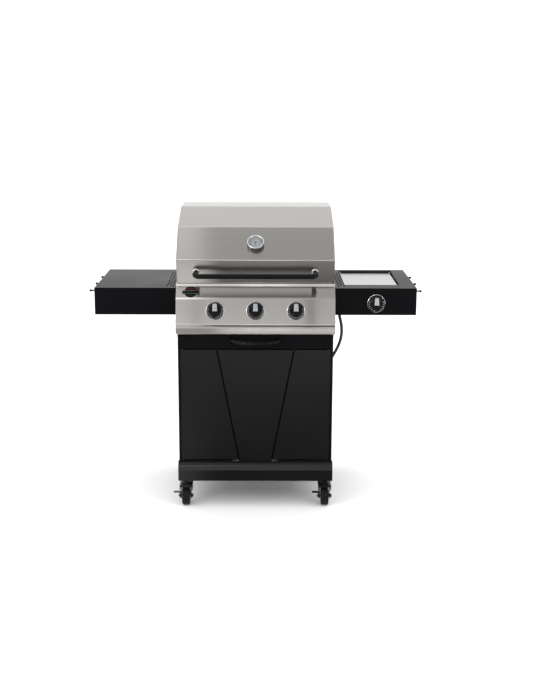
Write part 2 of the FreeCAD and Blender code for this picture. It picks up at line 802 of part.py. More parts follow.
def build_gas_supply():
    """Manifold tube, and the fittings that carry the side burner's hose."""
    y, z = -203.0, 764.0
    route = [(-185, y, z), (281, y, z), (281, y, 682), (281, -60, 682), (281, -60, 508)]
    manifold = round_tube("manifold", tube_path(route, [20.0, 20.0, 20.0]), mm("manifold_radius"))
    node(manifold, "manifold_pipe")

    tee = span((262, 301.5), (-75, -25), (488, 508), "tee")
    inlet = rod(8.0, 20.0, (276, -50, 468), name="inlet")
    heading = Vector(*HOSE_ROUTE[-1]) - Vector(*HOSE_ROUTE[-2])
    lower_nut = rod(9.0, 34.0, HOSE_ROUTE[-1], tuple(heading), "lower_nut")
    lower = fuse([tee, inlet, lower_nut], "lower_fitting")
    elbow = span((326, 346), (-50, -30), (782, 806), "elbow")
    feed_route = [(346, -40, 797), (440, -40, 797), (473.5, -90, 812.5), (473.5, -116, 812.5)]
    feed = round_tube("feed", tube_path(feed_route, [25.0, 25.0]), 4.0)
    upper = fuse([elbow, feed], "upper_fitting")
    node(group([lower, upper], "fittings"), "gas_fittings")


HOSE_ROUTE = [
    (336, -40, 782),
    (336, -40, 744),
    (347, -41, 706),
    (350, -41, 667),
    (343, -41, 628),
    (327, -42, 592),
    (308, -43, 560),
    (288, -43, 531),
]


def build_hose():
    """The flexible hose from the gas tee to the side burner's feed."""
    runs = [(Vector(*b) - Vector(*a)) for a, b in zip(HOSE_ROUTE, HOSE_ROUTE[1:])]
    radii = []
    for before, after in zip(runs, runs[1:]):
        shorter = min(before.Length, after.Length)
        radii.append(0.45 * shorter / math.tan(before.getAngle(after) / 2))
    path = tube_path(HOSE_ROUTE, radii)
    radius = mm("hose_diameter") / 2
    hose = round_tube("hose", path, radius)
    expected = math.pi * radius ** 2 * path.Length
    print("hose radii", [round(value) for value in radii], "length", round(path.Length, 1))
    print("hose volume", round(hose.Shape.Volume), "section times length", round(expected))
    node(hose, "side_burner_hose")


def build_igniters():
    """An electrode beside each burner."""
    foot = mm("burner_height") - 12
    parts = [rod(2.5, 48, (x + 24, -60, foot), (0, 0, 1), "electrode") for x in knob_positions()]
    parts.append(rod(2.5, 18, (512, 90, 823.5), (0, 0, 1), "side_electrode"))
    node(group(parts, "electrodes"), "igniter_electrodes")


# ---------------------------------------------------------------- shelves and side burner
PAN_X = (353.0, 577.0)
PAN_Y = (-83.0, 269.0)
BURNER_CENTRE = (465.0, 90.0)


def build_shelf(side, label):
    """Folded side shelf with three staggered columns of vent slots beside the body."""
    inner, outer = mm("shelf_inner"), mm("shelf_outer")
    front, back = mm("shelf_front"), mm("shelf_back")
    low, high = sorted((side * inner, side * outer))
    outline = [(low, front), (high, front), (high, back), (low, back)]
    body = pad_body(label + "_sheet", "XY_Plane", outline, "Dims.shelf_top - Dims.shelf_bottom")
    body.Placement = Placement(Vector(0, 0, mm("shelf_bottom")), Rotation())
    shell_body(body, "Dims.sheet", lambda normal, centre: normal.z < -0.9)
    top = mm("shelf_top")
    tools = []
    slot_width, slot_length, pitch = 5.0, 30.0, 54.0
    for column, x in enumerate((18.0, 29.5, 41.0)):
        first = front + 38 + (pitch / 2 if column == 1 else 0)
        for index in range(7 - column % 2):
            start = first + index * pitch
            x_range = (inner + x - slot_width / 2, inner + x + slot_width / 2)
            y_range = (start, start + slot_length)
            tools.append(mirrored_span(side, x_range, y_range, (top - 5, top + 5), "slot"))
    if side > 0:
        tools.append(span((PAN_X[0] + 1, PAN_X[1] - 1), (PAN_Y[0] + 1, PAN_Y[1] - 1), (top - 5, top + 5)))
        tools.append(rod(7, 20, (SIDE_KNOB[0], front - 10, SIDE_KNOB[2]), (0, 1, 0), "stem_hole"))
    node(cut(body, tools, label + "_cut"), label)


def build_tool_pegs():
    """Three ball-ended pegs on the outer side of each shelf."""
    outer, height = mm("shelf_outer"), mm("shelf_top") - 13
    front, depth = mm("shelf_front"), mm("shelf_back") - mm("shelf_front")
    outline = [(0, 0), (3, 0), (3, 12, (5, 16)), (3, 20), (0, 20)]
    pegs = []
    for side in (-1, 1):
        outward = Rotation(Vector(0, 0, 1), Vector(side, 0, 0))
        for share in (0.03, 0.38, 0.73):
            seat = Placement(Vector(side * outer, front + share * depth, height), outward)
            pegs.append(turned_body("peg", outline, seat))
    node(group(pegs, "pegs"), "tool_pegs")


def build_side_burner():
    """Pan, burner head, pan support and hinged cover."""
    top = mm("shelf_top") - mm("sheet")
    outline = [
        (PAN_X[0], PAN_Y[0]), (PAN_X[1], PAN_Y[0]), (PAN_X[1], PAN_Y[1]), (PAN_X[0], PAN_Y[1])
    ]
    tub = pad_body("pan", "XY_Plane", outline, top - 822)
    tub.Placement = Placement(Vector(0, 0, 822), Rotation())
    shell_body(tub, 1.5, lambda normal, centre: normal.z > 0.9)
    hinge = (263.0, 863.5)
    lugs = [
        span((PAN_X[0] + 1.5, PAN_X[0] + 3.5), (hinge[0] - 3, hinge[0] + 4.5), (850, 868.5), "lug"),
        span((PAN_X[1] - 3.5, PAN_X[1] - 1.5), (hinge[0] - 3, hinge[0] + 4.5), (850, 868.5), "lug"),
    ]
    stop = span((PAN_X[0] + 20, PAN_X[1] - 20), (PAN_Y[0] + 1.5, PAN_Y[0] + 12), (852, 854), "front_stop")
    lug_bore = rod(2.5 + mm("running_gap"), 240, (PAN_X[0] - 5, *hinge), (1, 0, 0), "lug_bore")
    clear = span((PAN_X[0] + 4, PAN_X[1] - 4), (hinge[0] - 5, hinge[0] + 5), (840, 870), "between_lugs")
    lugs_bored = cut(fuse(lugs, "lugs"), [cut(lug_bore, [clear], "bore_ends")], "bored_lugs")
    pan = fuse([tub, lugs_bored, stop], "pan_assembly")
    node(pan, "side_burner_pan")

    x, y = BURNER_CENTRE
    head = Placement(Vector(x, y, 823.5), Rotation())
    head_outline = [(0, 0), (30, 0), (30, 8), (42, 12), (42, 18), (36, 22), (0, 22)]
    node(turned_body("head", head_outline, head), "side_burner_head")

    bars = []
    off, half_bar, floor, low, high = 45, 3, 823.5, 846.5, 851.5
    for direction in (-1, 1):
        bar_x, bar_y = x + direction * off, y + direction * off
        bars.append(span((x - 96, x + 96), (bar_y - half_bar, bar_y + half_bar), (low, high)))
        bars.append(span((bar_x - half_bar, bar_x + half_bar), (y - 110, y + 110), (low, high)))
        for foot_x in (x - 92, x + 92):
            foot_span = (foot_x - half_bar, foot_x + half_bar)
            bars.append(span(foot_span, (bar_y - half_bar, bar_y + half_bar), (floor, low), "foot"))
    node(fuse(bars, "pan_support"), "side_burner_grate")

    cover_outline = [(357.6, -77), (570.0, -77), (570.0, 259), (357.6, 259)]
    cover = pad_body("cover", "XY_Plane", cover_outline, 7.0)
    cover.Placement = Placement(Vector(0, 0, 854.5), Rotation())
    shell_body(cover, 1.5, lambda normal, centre: normal.z < -0.9)
    notch = span((442, 486), (-80, -68), (850, 870), "finger_notch")
    cheek_y, cheek_z = (250, hinge[0] + 2.9), (856, hinge[1] + 2.9)
    cheeks = [span(x_range, cheek_y, cheek_z, "cheek") for x_range in ((357.6, 360), (567.6, 570))]
    stubs = [
        rod(2.5, 3.0, (357.6, *hinge), (-1, 0, 0), "stub"),
        rod(2.5, 4.9, (570.0, *hinge), (1, 0, 0), "stub"),
    ]
    notched = cut(cover, [notch], "notched_cover")
    node(fuse([notched] + cheeks + stubs, "cover_assembly"), "side_burner_lid")


# ---------------------------------------------------------------- casters
CASTERS = {
    "front_left": (-mm("caster_offset_x"), mm("caster_front")),
    "front_right": (mm("caster_offset_x"), mm("caster_front")),
    "rear_left": (-mm("caster_offset_x") + 6, mm("caster_back")),
    "rear_right": (mm("caster_offset_x") - 6, mm("caster_back")),
}


def axle_centre(x, y):
    """The middle of the axle of the caster whose king pin is at (x, y)."""
    return Vector(x, y - mm("caster_trail"), mm("wheel_radius"))


def build_caster_mounts():
    """Top plate, bearing housing and king pin of each caster."""
    mounts = []
    top, ring_top = mm("base_bottom"), mm("fork_top") + 11
    plate_gauge, king_pin_radius, king_pin_low = 3.0, 5.0, mm("fork_top") - 2
    for x, y in CASTERS.values():
        plate = span((x - 22, x + 22), (y - 22, y + 30), (top - plate_gauge, top), "plate")
        housing = rod(21.5, top - plate_gauge - ring_top - 1, (x, y, ring_top + 1), name="housing")
        pin = rod(king_pin_radius, top - king_pin_low, (x, y, king_pin_low), name="king_pin")
        mounts.append(fuse([plate, housing, pin], "caster_mount"))
    node(group(mounts, "mounts"), "caster_plates")


def build_fork(name, x, y):
    """Hooded swivel head with two legs, the axle and its nut."""
    half, gauge, top = mm("fork_half_width"), mm("fork_sheet"), mm("fork_top")
    front, back, skirt, brow = y - 34, y + 18, 62.0, 74.0
    clear = (x - half + gauge, x + half - gauge)
    block = span((x - half, x + half), (front, back), (skirt, top), "hood_block")
    inside = span(clear, (front + gauge, back - gauge), (skirt - 1, top - gauge), "hood_inside")
    mouth = span(clear, (front - 1, front + gauge + 1), (skirt - 1, brow), "mouth")
    hood = cut(block, [inside, mouth], "hood")

    axle = axle_centre(x, y)
    inner, foot, low = mm("fork_leg_inside"), 10.0, 27.0
    legs = []
    for leg_start in (-inner - gauge, inner):
        outline = [
            (front + 6, top - 1), (back - 4, top - 1), (back - 6, 62),
            (axle.y + foot, low), (axle.y - foot, low), (front + 4, 56),
        ]
        leg = pad_body("leg", "YZ_Plane", outline, "Dims.fork_sheet")
        leg.Placement = Placement(Vector(x + leg_start, 0, 0), Rotation())
        legs.append(leg)
    ring = rod(20.0, 11.0, (x, y, top), name="swivel_ring")
    bore = rod(5.0 + mm("running_gap"), 20.0, (x, y, top - 6), name="king_pin_bore")
    head = cut(fuse([ring, hood], "head"), [bore], "bored_head")
    bolt = rod("Dims.axle_radius", 60.0, (axle.x - 31, axle.y, axle.z), (1, 0, 0), "axle")
    nut = rod(8.0, 6.0, (axle.x + inner + gauge, axle.y, axle.z), (1, 0, 0), "nut")
    node(fuse([head, bolt, nut] + legs, "fork"), name + "_fork")


def build_wheel(name, x, y):
    """Wheel with a rounded tread and a recessed hub."""
    half, radius = mm("wheel_width") / 2, mm("wheel_radius")
    bore = mm("axle_radius") + mm("running_gap")
    outline = [
        (bore, -half), (10, -half), (12, -half + 3), (24, -half + 3), (27, -half), (radius - 3, -half),
        (radius, -half + 4), (radius, half - 4), (radius - 3, half), (27, half), (24, half - 3),
        (12, half - 3), (10, half), (bore, half),
    ]
    seat = Placement(axle_centre(x, y), Rotation(Vector(0, 0, 1), Vector(1, 0, 0)))
    node(turned_body("wheel", outline, seat), name + "_wheel")


def build_brake_lever(name, x, y):
    """Foot lever that turns on the axle's left end and sticks out sideways."""
    axle = axle_centre(x, y)
    collar_low, collar_high, tip, gauge = axle.x - 27.0, axle.x - 22.0, axle.x - 50.0, 3.0
    pedal_top = axle.z + 17
    collar = rod(10.0, collar_high - collar_low, (collar_low, axle.y, axle.z), (1, 0, 0), "collar")
    arm = span((collar_low, collar_high), (axle.y - 7, axle.y + 7), (axle.z, pedal_top), "arm")
    pedal = span((tip, collar_high), (axle.y - 9, axle.y + 9), (pedal_top - gauge, pedal_top), "pedal")
    bore_radius = mm("axle_radius") + mm("running_gap")
    bore = rod(bore_radius, 10, (collar_low - 2, axle.y, axle.z), (1, 0, 0), "lever_bore")
    node(cut(fuse([collar, arm, pedal], "lever"), [bore], "bored_lever"), name + "_brake_lever")


# ---------------------------------------------------------------- fasteners
def build_screws():
    """Dome screws on the control panel's ends and the cabinet's sides."""
    screws = []
    panel_edge = mm("panel_width") / 2
    cabinet_edge = mm("cabinet_width") / 2
    for side in (-1, 1):
        for height in (722, 752):
            screws.append(rod(4.5, 3.0, (side * panel_edge, -232, height), (side, 0, 0), "panel_screw"))
        for y in (-215, 0, 240):
            for height in (150, 690):
                screws.append(rod(4.5, 2.5, (side * cabinet_edge, y, height), (side, 0, 0), "cabinet_screw"))
    node(group(screws, "screw_set"), "screws")


# ---------------------------------------------------------------- assembly
build_base()
build_plinth()
node(group(both_sides(build_side_panel), "sides"), "side_panels")
build_back_panel()
build_cabinet_frame()
build_centre_panel()
build_door(-1, "left_door")
build_door(1, "right_door")
build_door_hardware()
build_drawer()
build_firebox()
build_burners()
build_flame_tamers()
build_cooking_grates()
build_warming_rack()
build_lid_hinge()
build_lid_skin()
build_lid_end_caps()
build_lid_handle()
build_thermometer()
build_control_panel()
build_badge()
build_knobs()
build_gas_supply()
build_hose()
build_igniters()
build_shelf(-1, "left_shelf")
build_shelf(1, "right_shelf")
build_tool_pegs()
build_side_burner()
build_caster_mounts()
for corner, (across, along) in CASTERS.items():
    build_fork(corner, across, along)
    build_wheel(corner, across, along)
    if corner.startswith("front"):
        build_brake_lever(corner, across, along)
build_screws()
doc.recompute()

# ---------------------------------------------------------------- checks and export
for item in doc.Objects:
    if "Invalid" in item.State or "Error" in item.State:
        raise RuntimeError(f"{item.Name} ({item.Label}) failed: {item.State}")
for item in nodes:
    if item.Shape.isNull() or not item.Shape.isValid():
        raise RuntimeError(f"{item.Label} has no valid shape")

os.makedirs("parts", exist_ok=True)
whole = FreeCAD.BoundBox()
for item in nodes:
    item.Shape.exportStep(f"parts/{item.Label}.step")
    whole.add(item.Shape.BoundBox)
print(len(nodes), "nodes; outline", whole)
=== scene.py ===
"""Looks of the three-burner gas grill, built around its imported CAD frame.

Metres, +Z up, +X to the user's right, +Y away from the user.
"""

import json
import math

import bmesh
import bpy
from mathutils import Matrix, Vector


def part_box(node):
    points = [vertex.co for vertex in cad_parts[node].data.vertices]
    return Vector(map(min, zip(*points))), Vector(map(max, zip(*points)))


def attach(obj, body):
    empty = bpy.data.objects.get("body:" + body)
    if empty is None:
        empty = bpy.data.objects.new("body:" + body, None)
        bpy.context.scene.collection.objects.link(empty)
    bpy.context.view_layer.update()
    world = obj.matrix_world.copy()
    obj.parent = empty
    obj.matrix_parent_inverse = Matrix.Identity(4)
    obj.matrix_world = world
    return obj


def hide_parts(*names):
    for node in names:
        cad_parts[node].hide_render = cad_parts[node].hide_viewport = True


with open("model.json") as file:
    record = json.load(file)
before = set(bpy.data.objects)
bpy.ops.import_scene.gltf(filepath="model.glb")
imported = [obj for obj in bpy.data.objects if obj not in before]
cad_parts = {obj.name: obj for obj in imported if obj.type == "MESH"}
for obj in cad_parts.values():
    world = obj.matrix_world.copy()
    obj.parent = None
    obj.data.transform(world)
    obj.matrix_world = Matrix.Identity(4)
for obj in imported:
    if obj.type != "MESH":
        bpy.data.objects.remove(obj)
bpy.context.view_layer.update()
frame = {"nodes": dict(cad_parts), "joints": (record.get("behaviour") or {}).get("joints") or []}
nodes = frame["nodes"]
joints = {joint["name"]: joint for joint in frame["joints"]}
scene = bpy.context.scene


# ---------------------------------------------------------------- camera
def build_camera():
    """A long lens at standing eye height, pitched down at the grill."""
    location = Vector((0.0313, -4.4079, 1.6332))
    heading, pitch, roll = -0.0028, 0.2292, 0.0029
    data = bpy.data.cameras.new("camera")
    data.sensor_width = 36.0
    data.lens = 57.4
    camera = bpy.data.objects.new("camera", data)
    scene.collection.objects.link(camera)
    turn = Matrix.Rotation(heading, 4, "Z") @ Matrix.Rotation(math.pi / 2 - pitch, 4, "X")
    camera.matrix_world = Matrix.Translation(location) @ turn @ Matrix.Rotation(roll, 4, "Z")
    scene.camera = camera


build_camera()


# ---------------------------------------------------------------- materials
class Surface:
    """A material with one Principled shader, and short calls for its node tree."""

    def __init__(self, name, color, roughness, metallic=0.0, **constants):
        self.material = bpy.data.materials.new(name)
        self.material.use_nodes = True
        self.tree = self.material.node_tree
        self.shader = self.tree.nodes["Principled BSDF"]
        self.color, self.roughness = color, roughness
        self.shader.inputs["Base Color"].default_value = (*color, 1.0)
        self.shader.inputs["Roughness"].default_value = roughness
        self.shader.inputs["Metallic"].default_value = metallic
        for socket, value in constants.items():
            self.shader.inputs[socket.replace("_", " ")].default_value = value
        self.height = None

    def node(self, kind, **settings):
        """A new node with some of its settings changed."""
        made = self.tree.nodes.new(kind)
        for name, value in settings.items():
            setattr(made, name, value)
        return made

    def join(self, source, target):
        """Link one socket to another."""
        self.tree.links.new(source, target)

    def place(self, stretch=(1.0, 1.0, 1.0)):
        """Object coordinates in metres, stretched along each axis."""
        coordinates = self.node("ShaderNodeTexCoord")
        mapping = self.node("ShaderNodeMapping")
        mapping.inputs["Scale"].default_value = stretch
        self.join(coordinates.outputs["Object"], mapping.inputs["Vector"])
        return mapping.outputs["Vector"]

    def noise(self, scale, stretch=(1.0, 1.0, 1.0), detail=3.0):
        """Noise between 0 and 1, fixed to the object."""
        texture = self.node("ShaderNodeTexNoise")
        texture.inputs["Scale"].default_value = scale
        texture.inputs["Detail"].default_value = detail
        self.join(self.place(stretch), texture.inputs["Vector"])
        return texture.outputs["Fac"]

    def remap(self, value, low, high, start=0.3, end=0.7):
        """A value spread between two numbers."""
        ranged = self.node("ShaderNodeMapRange")
        self.join(value, ranged.inputs["Value"])
        for socket, number in zip(("From Min", "From Max", "To Min", "To Max"), (start, end, low, high)):
            ranged.inputs[socket].default_value = number
        return ranged.outputs["Result"]

    def tint(self, value, darker, lighter):
        """The base colour, varied between two shares of itself by a value."""
        mix = self.node("ShaderNodeMix", data_type="RGBA")
        self.join(self.remap(value, 0.0, 1.0), mix.inputs["Factor"])
        mix.inputs["A"].default_value = (*(darker * channel for channel in self.color), 1.0)
        mix.inputs["B"].default_value = (*(lighter * channel for channel in self.color), 1.0)
        self.join(mix.outputs["Result"], self.shader.inputs["Base Color"])
        return self

    def gloss(self, value, spread):
        """The roughness, varied by a value to each side of its own."""
        ranged = self.remap(value, self.roughness - spread, self.roughness + spread)
        self.join(ranged, self.shader.inputs["Roughness"])
        return self

    def bump(self, value, distance, strength=1.0):
        """A bump of that depth in metres, on top of any bump made before."""
        bump = self.node("ShaderNodeBump")
        bump.inputs["Strength"].default_value = strength
        bump.inputs["Distance"].default_value = distance
        self.join(value, bump.inputs["Height"])
        if self.height:
            self.join(self.height, bump.inputs["Normal"])
        self.height = bump.outputs["Normal"]
        self.join(self.height, self.shader.inputs["Normal"])
        return self


def drawn_out(brushing, across, along):
    """Noise scales per metre that stretch a pattern along the brushing."""
    return [across + (along - across) * share for share in brushing]


def brushed_steel(name, color, roughness, brushing, anisotropy):
    """Sheet steel with a fine grain along one axis, which blurs reflections across it."""
    steel = Surface(name, color, roughness, 1.0, Anisotropic=anisotropy)
    fine = steel.noise(1.0, drawn_out(brushing, 3000.0, 5.0), detail=5.0)
    streaks = steel.noise(1.0, drawn_out(brushing, 500.0, 3.0), detail=3.0)
    steel.tint(streaks, 0.98, 1.02).gloss(fine, 0.02).bump(fine, 0.000004, 0.2)
    across = steel.node("ShaderNodeVectorMath", operation="CROSS_PRODUCT")
    steel.join(steel.node("ShaderNodeNewGeometry").outputs["Normal"], across.inputs[0])
    across.inputs[1].default_value = brushing
    steel.join(across.outputs["Vector"], steel.shader.inputs["Tangent"])
    return steel.material


def powder_coat(name, color, roughness, texture=900.0, depth=0.00002, level=0.25):
    """Baked powder paint with its fine orange peel."""
    coat = Surface(name, color, roughness, Specular_IOR_Level=level)
    peel = coat.noise(texture, detail=2.0)
    cloudy = coat.noise(3.0, detail=3.0)
    return coat.tint(cloudy, 0.85, 1.15).gloss(cloudy, 0.04).bump(peel, depth, 0.6).material


def plated_metal(name, color, roughness, spread=0.03):
    """Bright plating, slightly clouded."""
    plate = Surface(name, color, roughness, 1.0)
    cloudy = plate.noise(60.0, detail=4.0)
    return plate.tint(cloudy, 0.94, 1.02).gloss(cloudy, spread).material


def cast_iron(name, color):
    """Rough sand-cast iron."""
    iron = Surface(name, color, 0.62, 0.3)
    grain = iron.noise(1400.0, detail=3.0)
    patches = iron.noise(30.0, detail=4.0)
    return iron.tint(patches, 0.6, 1.4).gloss(patches, 0.1).bump(grain, 0.00015, 0.7).material


def moulded(name, color, roughness, texture=700.0, depth=0.00001, level=0.5):
    """Plastic or rubber with the fine grain of its mould."""
    plastic = Surface(name, color, roughness, Specular_IOR_Level=level)
    grain = plastic.noise(texture, detail=2.0)
    cloudy = plastic.noise(20.0)
    return plastic.tint(cloudy, 0.85, 1.2).gloss(cloudy, 0.04).bump(grain, depth, 0.5).material


def heated_steel(name, color):
    """Mill-finish steel with the straw tint of use."""
    steel = Surface(name, color, 0.42, 1.0)
    patches = steel.noise(9.0, detail=4.0)
    grain = steel.noise(500.0)
    return steel.tint(patches, 0.7, 1.05).gloss(patches, 0.08).bump(grain, 0.00003, 0.4).material


def braided_cover(name, color):
    """Woven cover of a hose: two families of crossing strands."""
    cover = Surface(name, color, 0.5)
    strands = []
    for lean in (-1.0, 1.0):
        wave = cover.node("ShaderNodeTexWave", wave_type="BANDS", bands_direction="DIAGONAL")
        wave.inputs["Scale"].default_value = 110.0
        cover.join(cover.place((lean, 1.0, 1.0)), wave.inputs["Vector"])
        strands.append(wave.outputs["Fac"])
    crossing = cover.node("ShaderNodeMath", operation="MAXIMUM")
    cover.join(strands[0], crossing.inputs[0])
    cover.join(strands[1], crossing.inputs[1])
    weave = crossing.outputs["Value"]
    return cover.tint(weave, 0.5, 1.6).gloss(weave, 0.08).bump(weave, 0.0003, 0.6).material


def clear_glass(name):
    """A clear lens with a little dust on it."""
    glass = Surface(name, (1.0, 1.0, 1.0), 0.03, Transmission_Weight=1.0, IOR=1.45)
    dust = glass.noise(200.0)
    return glass.gloss(dust, 0.02).material


STEEL = (0.60, 0.58, 0.553)
ALONG_X = (1.0, 0.0, 0.0)
ALONG_Y = (0.0, 1.0, 0.0)
MATERIALS = {
    "stainless": brushed_steel("stainless", STEEL, 0.15, ALONG_X, 1.0),
    "stainless_side": brushed_steel("stainless_side", STEEL, 0.3, ALONG_Y, 0.5),
    "stainless_flat": brushed_steel("stainless_flat", (0.66, 0.66, 0.67), 0.3, ALONG_X, 0.5),
    "black_coat": powder_coat("black_coat", (0.0042, 0.0042, 0.0048), 0.32, level=0.26),
    "shelf_coat": powder_coat("shelf_coat", (0.0034, 0.0035, 0.0042), 0.3, level=0.04),
    "handle_black": powder_coat("handle_black", (0.0032, 0.0032, 0.0036), 0.16, level=0.14),
    "chrome": plated_metal("chrome", (0.83, 0.83, 0.84), 0.06),
    "inlay": plated_metal("inlay", (0.62, 0.64, 0.67), 0.3, 0.05),
    "dark_chrome": plated_metal("dark_chrome", (0.1, 0.1, 0.105), 0.08),
    "knob_black": moulded("knob_black", (0.0035, 0.0035, 0.004), 0.12, level=0.2),
    "enamel_black": powder_coat("enamel_black", (0.006, 0.006, 0.006), 0.22, 300.0, 0.00004, 0.5),
    "cast_iron": cast_iron("cast_iron", (0.022, 0.021, 0.02)),
    "burner_steel": heated_steel("burner_steel", (0.5, 0.47, 0.43)),
    "zinc": plated_metal("zinc", (0.66, 0.67, 0.69), 0.25, 0.08),
    "brass": plated_metal("brass", (0.72, 0.52, 0.24), 0.25, 0.06),
    "plinth_coat": powder_coat("plinth_coat", (0.0042, 0.0042, 0.0048), 0.2, level=0.5),
    "tyre": moulded("tyre", (0.005, 0.005, 0.0055), 0.5, 500.0, 0.00004, 0.15),
    "hub_grey": moulded("hub_grey", (0.03, 0.03, 0.032), 0.4),
    "hose_rubber": braided_cover("hose_rubber", (0.03, 0.029, 0.028)),
    "dial_face": moulded("dial_face", (0.3, 0.33, 0.36), 0.4),
    "dial_print": moulded("dial_print", (0.02, 0.02, 0.022), 0.5),
    "dial_white": moulded("dial_white", (0.62, 0.63, 0.63), 0.45),
    "needle_red": moulded("needle_red", (0.3, 0.07, 0.05), 0.4),
    "badge_gloss": moulded("badge_gloss", (0.006, 0.0055, 0.0055), 0.15, level=0.2),
    "badge_red": moulded("badge_red", (0.05, 0.007, 0.006), 0.25, level=0.2),
    "lens": clear_glass("lens"),
}


def finish_with(piece, name):
    """Give a piece or a CAD node one of the materials above."""
    piece.data.materials.clear()
    piece.data.materials.append(MATERIALS[name])
    return piece


# ---------------------------------------------------------------- hose
HOSE_DIAMETER = 0.012
HOSE_ROUTE = [
    (0.336, -0.040, 0.782),
    (0.336, -0.040, 0.744),
    (0.347, -0.041, 0.706),
    (0.350, -0.041, 0.667),
    (0.343, -0.041, 0.628),
    (0.327, -0.042, 0.592),
    (0.308, -0.043, 0.560),
    (0.288, -0.043, 0.531),
]


def build_hose():
    """The side burner's gas hose, from its elbow under the shelf to the tee in the cabinet."""
    curve = bpy.data.curves.new("braided_hose", "CURVE")
    curve.dimensions = "3D"
    curve.bevel_depth = HOSE_DIAMETER / 2
    curve.bevel_resolution = 8
    curve.resolution_u = 16
    curve.use_fill_caps = True
    spline = curve.splines.new("NURBS")
    spline.points.add(len(HOSE_ROUTE) - 1)
    for point, place in zip(spline.points, HOSE_ROUTE):
        point.co = (*place, 1.0)
    spline.order_u = 3
    spline.use_endpoint_u = True
    hose = bpy.data.objects.new("braided_hose", curve)
    scene.collection.objects.link(hose)
    finish_with(hose, "hose_rubber")
    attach(hose, "cart")
    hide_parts("side_burner_hose")


build_hose()


# ---------------------------------------------------------------- floor and light
# Levels by degrees from the front horizon, over the top, to the back horizon.
STUDIO = {
    "span": 180.0,
    "strength": 2.2,
    "edge": -0.056,
    "softness": 0.006,
    "left": [
        (0.0, 2.2), (6.0, 1.9), (11.0, 0.6), (17.0, 0.42), (26.0, 0.6), (34.0, 1.9), (52.0, 2.1),
        (61.0, 0.6), (68.0, 0.46), (79.0, 0.82), (92.0, 0.76), (106.0, 1.4), (118.0, 1.5),
        (128.0, 0.72), (150.0, 0.95), (180.0, 1.24),
    ],
    "right": [
        (0.0, 1.3), (5.0, 1.2), (11.0, 0.62), (17.0, 0.52), (24.0, 0.62), (40.0, 0.6), (55.0, 0.55),
        (64.0, 0.48), (70.0, 0.52), (79.0, 0.44), (92.0, 0.4), (106.0, 1.2), (118.0, 1.5),
        (128.0, 0.72), (150.0, 0.95), (180.0, 1.24),
    ],
}
# Levels by metres in front of the grill's centre.
CARPET = {
    "span": 7.0,
    "strength": 1.2,
    "edge": -0.25,
    "softness": 0.06,
    "left": [
        (0.0, 0.3), (0.7, 0.7), (1.0, 0.8), (1.1, 0.85), (1.28, 0.95), (1.5, 0.7), (1.9, 0.3),
        (2.6, 0.28), (3.2, 0.28), (3.6, 0.16), (7.0, 0.2),
    ],
    "right": [
        (0.0, 0.06), (0.8, 0.07), (1.08, 0.08), (1.18, 0.2), (1.24, 0.24), (1.3, 0.06), (1.6, 0.2),
        (2.2, 0.9), (2.6, 1.2), (3.4, 1.2), (3.8, 0.3), (7.0, 0.25),
    ],
}
CARPET_HALF_WIDTH = 4.0
CARPET_NEAR_EDGE = -0.34
CARPET_HEIGHT = 0.002
# Upright cards: the middle in X, half the width, and the level.
STANDS = {"left_stand": (-0.438, 0.019, 0.3), "right_stand": (0.362, 0.02, 0.02)}
STAND_Y = -3.5
STAND_HEIGHTS = (1.0, 3.0)
# Lit patches on the floor: the range in X.
SPILLS = {"left_spill": (-0.14, 0.03), "right_spill": (0.10, 0.25)}
SPILL_Y = (-6.9, -4.9)
SPILL_HEIGHT = 0.004
SPILL_LEVEL = 3.0
FLOOR_RANGE = (-14.0, 14.0)
WALL_STRENGTH = 1.2
LAMP_TARGET = (0.0, 0.0, 0.8)


def set_sheet(name, corners, material):
    """A flat four-cornered sheet of the set."""
    mesh = bpy.data.meshes.new(name)
    mesh.from_pydata(corners, [], [(0, 1, 2, 3)])
    made = bpy.data.objects.new(name, mesh)
    scene.collection.objects.link(made)
    made.data.materials.append(material)
    return made


def level_corners(x_range, y_range, height):
    """The corners of a level rectangle, facing up."""
    return [(x_range[i], y_range[j], height) for i, j in ((0, 0), (1, 0), (1, 1), (0, 1))]


def only_reflected(sheet):
    """Keep a sheet of the set out of sight, except in the gloss."""
    sheet.visible_camera = sheet.visible_diffuse = sheet.visible_shadow = False
    sheet.visible_transmission = False


def build_floor():
    """A wide pale floor with a soft sheen."""
    surface = Surface("floor", (0.86, 0.86, 0.855), 0.5)
    surface.tint(surface.noise(1.5), 0.98, 1.0)
    set_sheet("floor", level_corners(FLOOR_RANGE, FLOOR_RANGE, 0.0), surface.material)


def ramp_of(tree, factor, stops):
    """A grey ramp from (position, level) stops."""
    ramp = tree.nodes.new("ShaderNodeValToRGB")
    elements = ramp.color_ramp.elements
    elements[0].position, elements[-1].position = stops[0][0], stops[-1][0]
    for position, _ in stops[1:-1]:
        elements.new(position)
    for element, (_, level) in zip(elements, stops):
        element.color = (level, level, level, 1.0)
    tree.links.new(factor, ramp.inputs["Fac"])
    return ramp.outputs["Color"]


def stepped(tree, value, edge, width, below, above):
    """A number that changes softly from one level to another as a value passes an edge."""
    step = tree.nodes.new("ShaderNodeMapRange")
    step.inputs["From Min"].default_value = edge - width
    step.inputs["From Max"].default_value = edge + width
    step.inputs["To Min"].default_value = below
    step.inputs["To Max"].default_value = above
    tree.links.new(value, step.inputs["Value"])
    return step.outputs["Result"]


def math_of(tree, operation, first, second):
    """One step of arithmetic on sockets or plain numbers."""
    made = tree.nodes.new("ShaderNodeMath")
    made.operation = operation
    for socket, value in zip(made.inputs, (first, second)):
        if isinstance(value, float):
            socket.default_value = value
        else:
            tree.links.new(value, socket)
    return made.outputs["Value"]


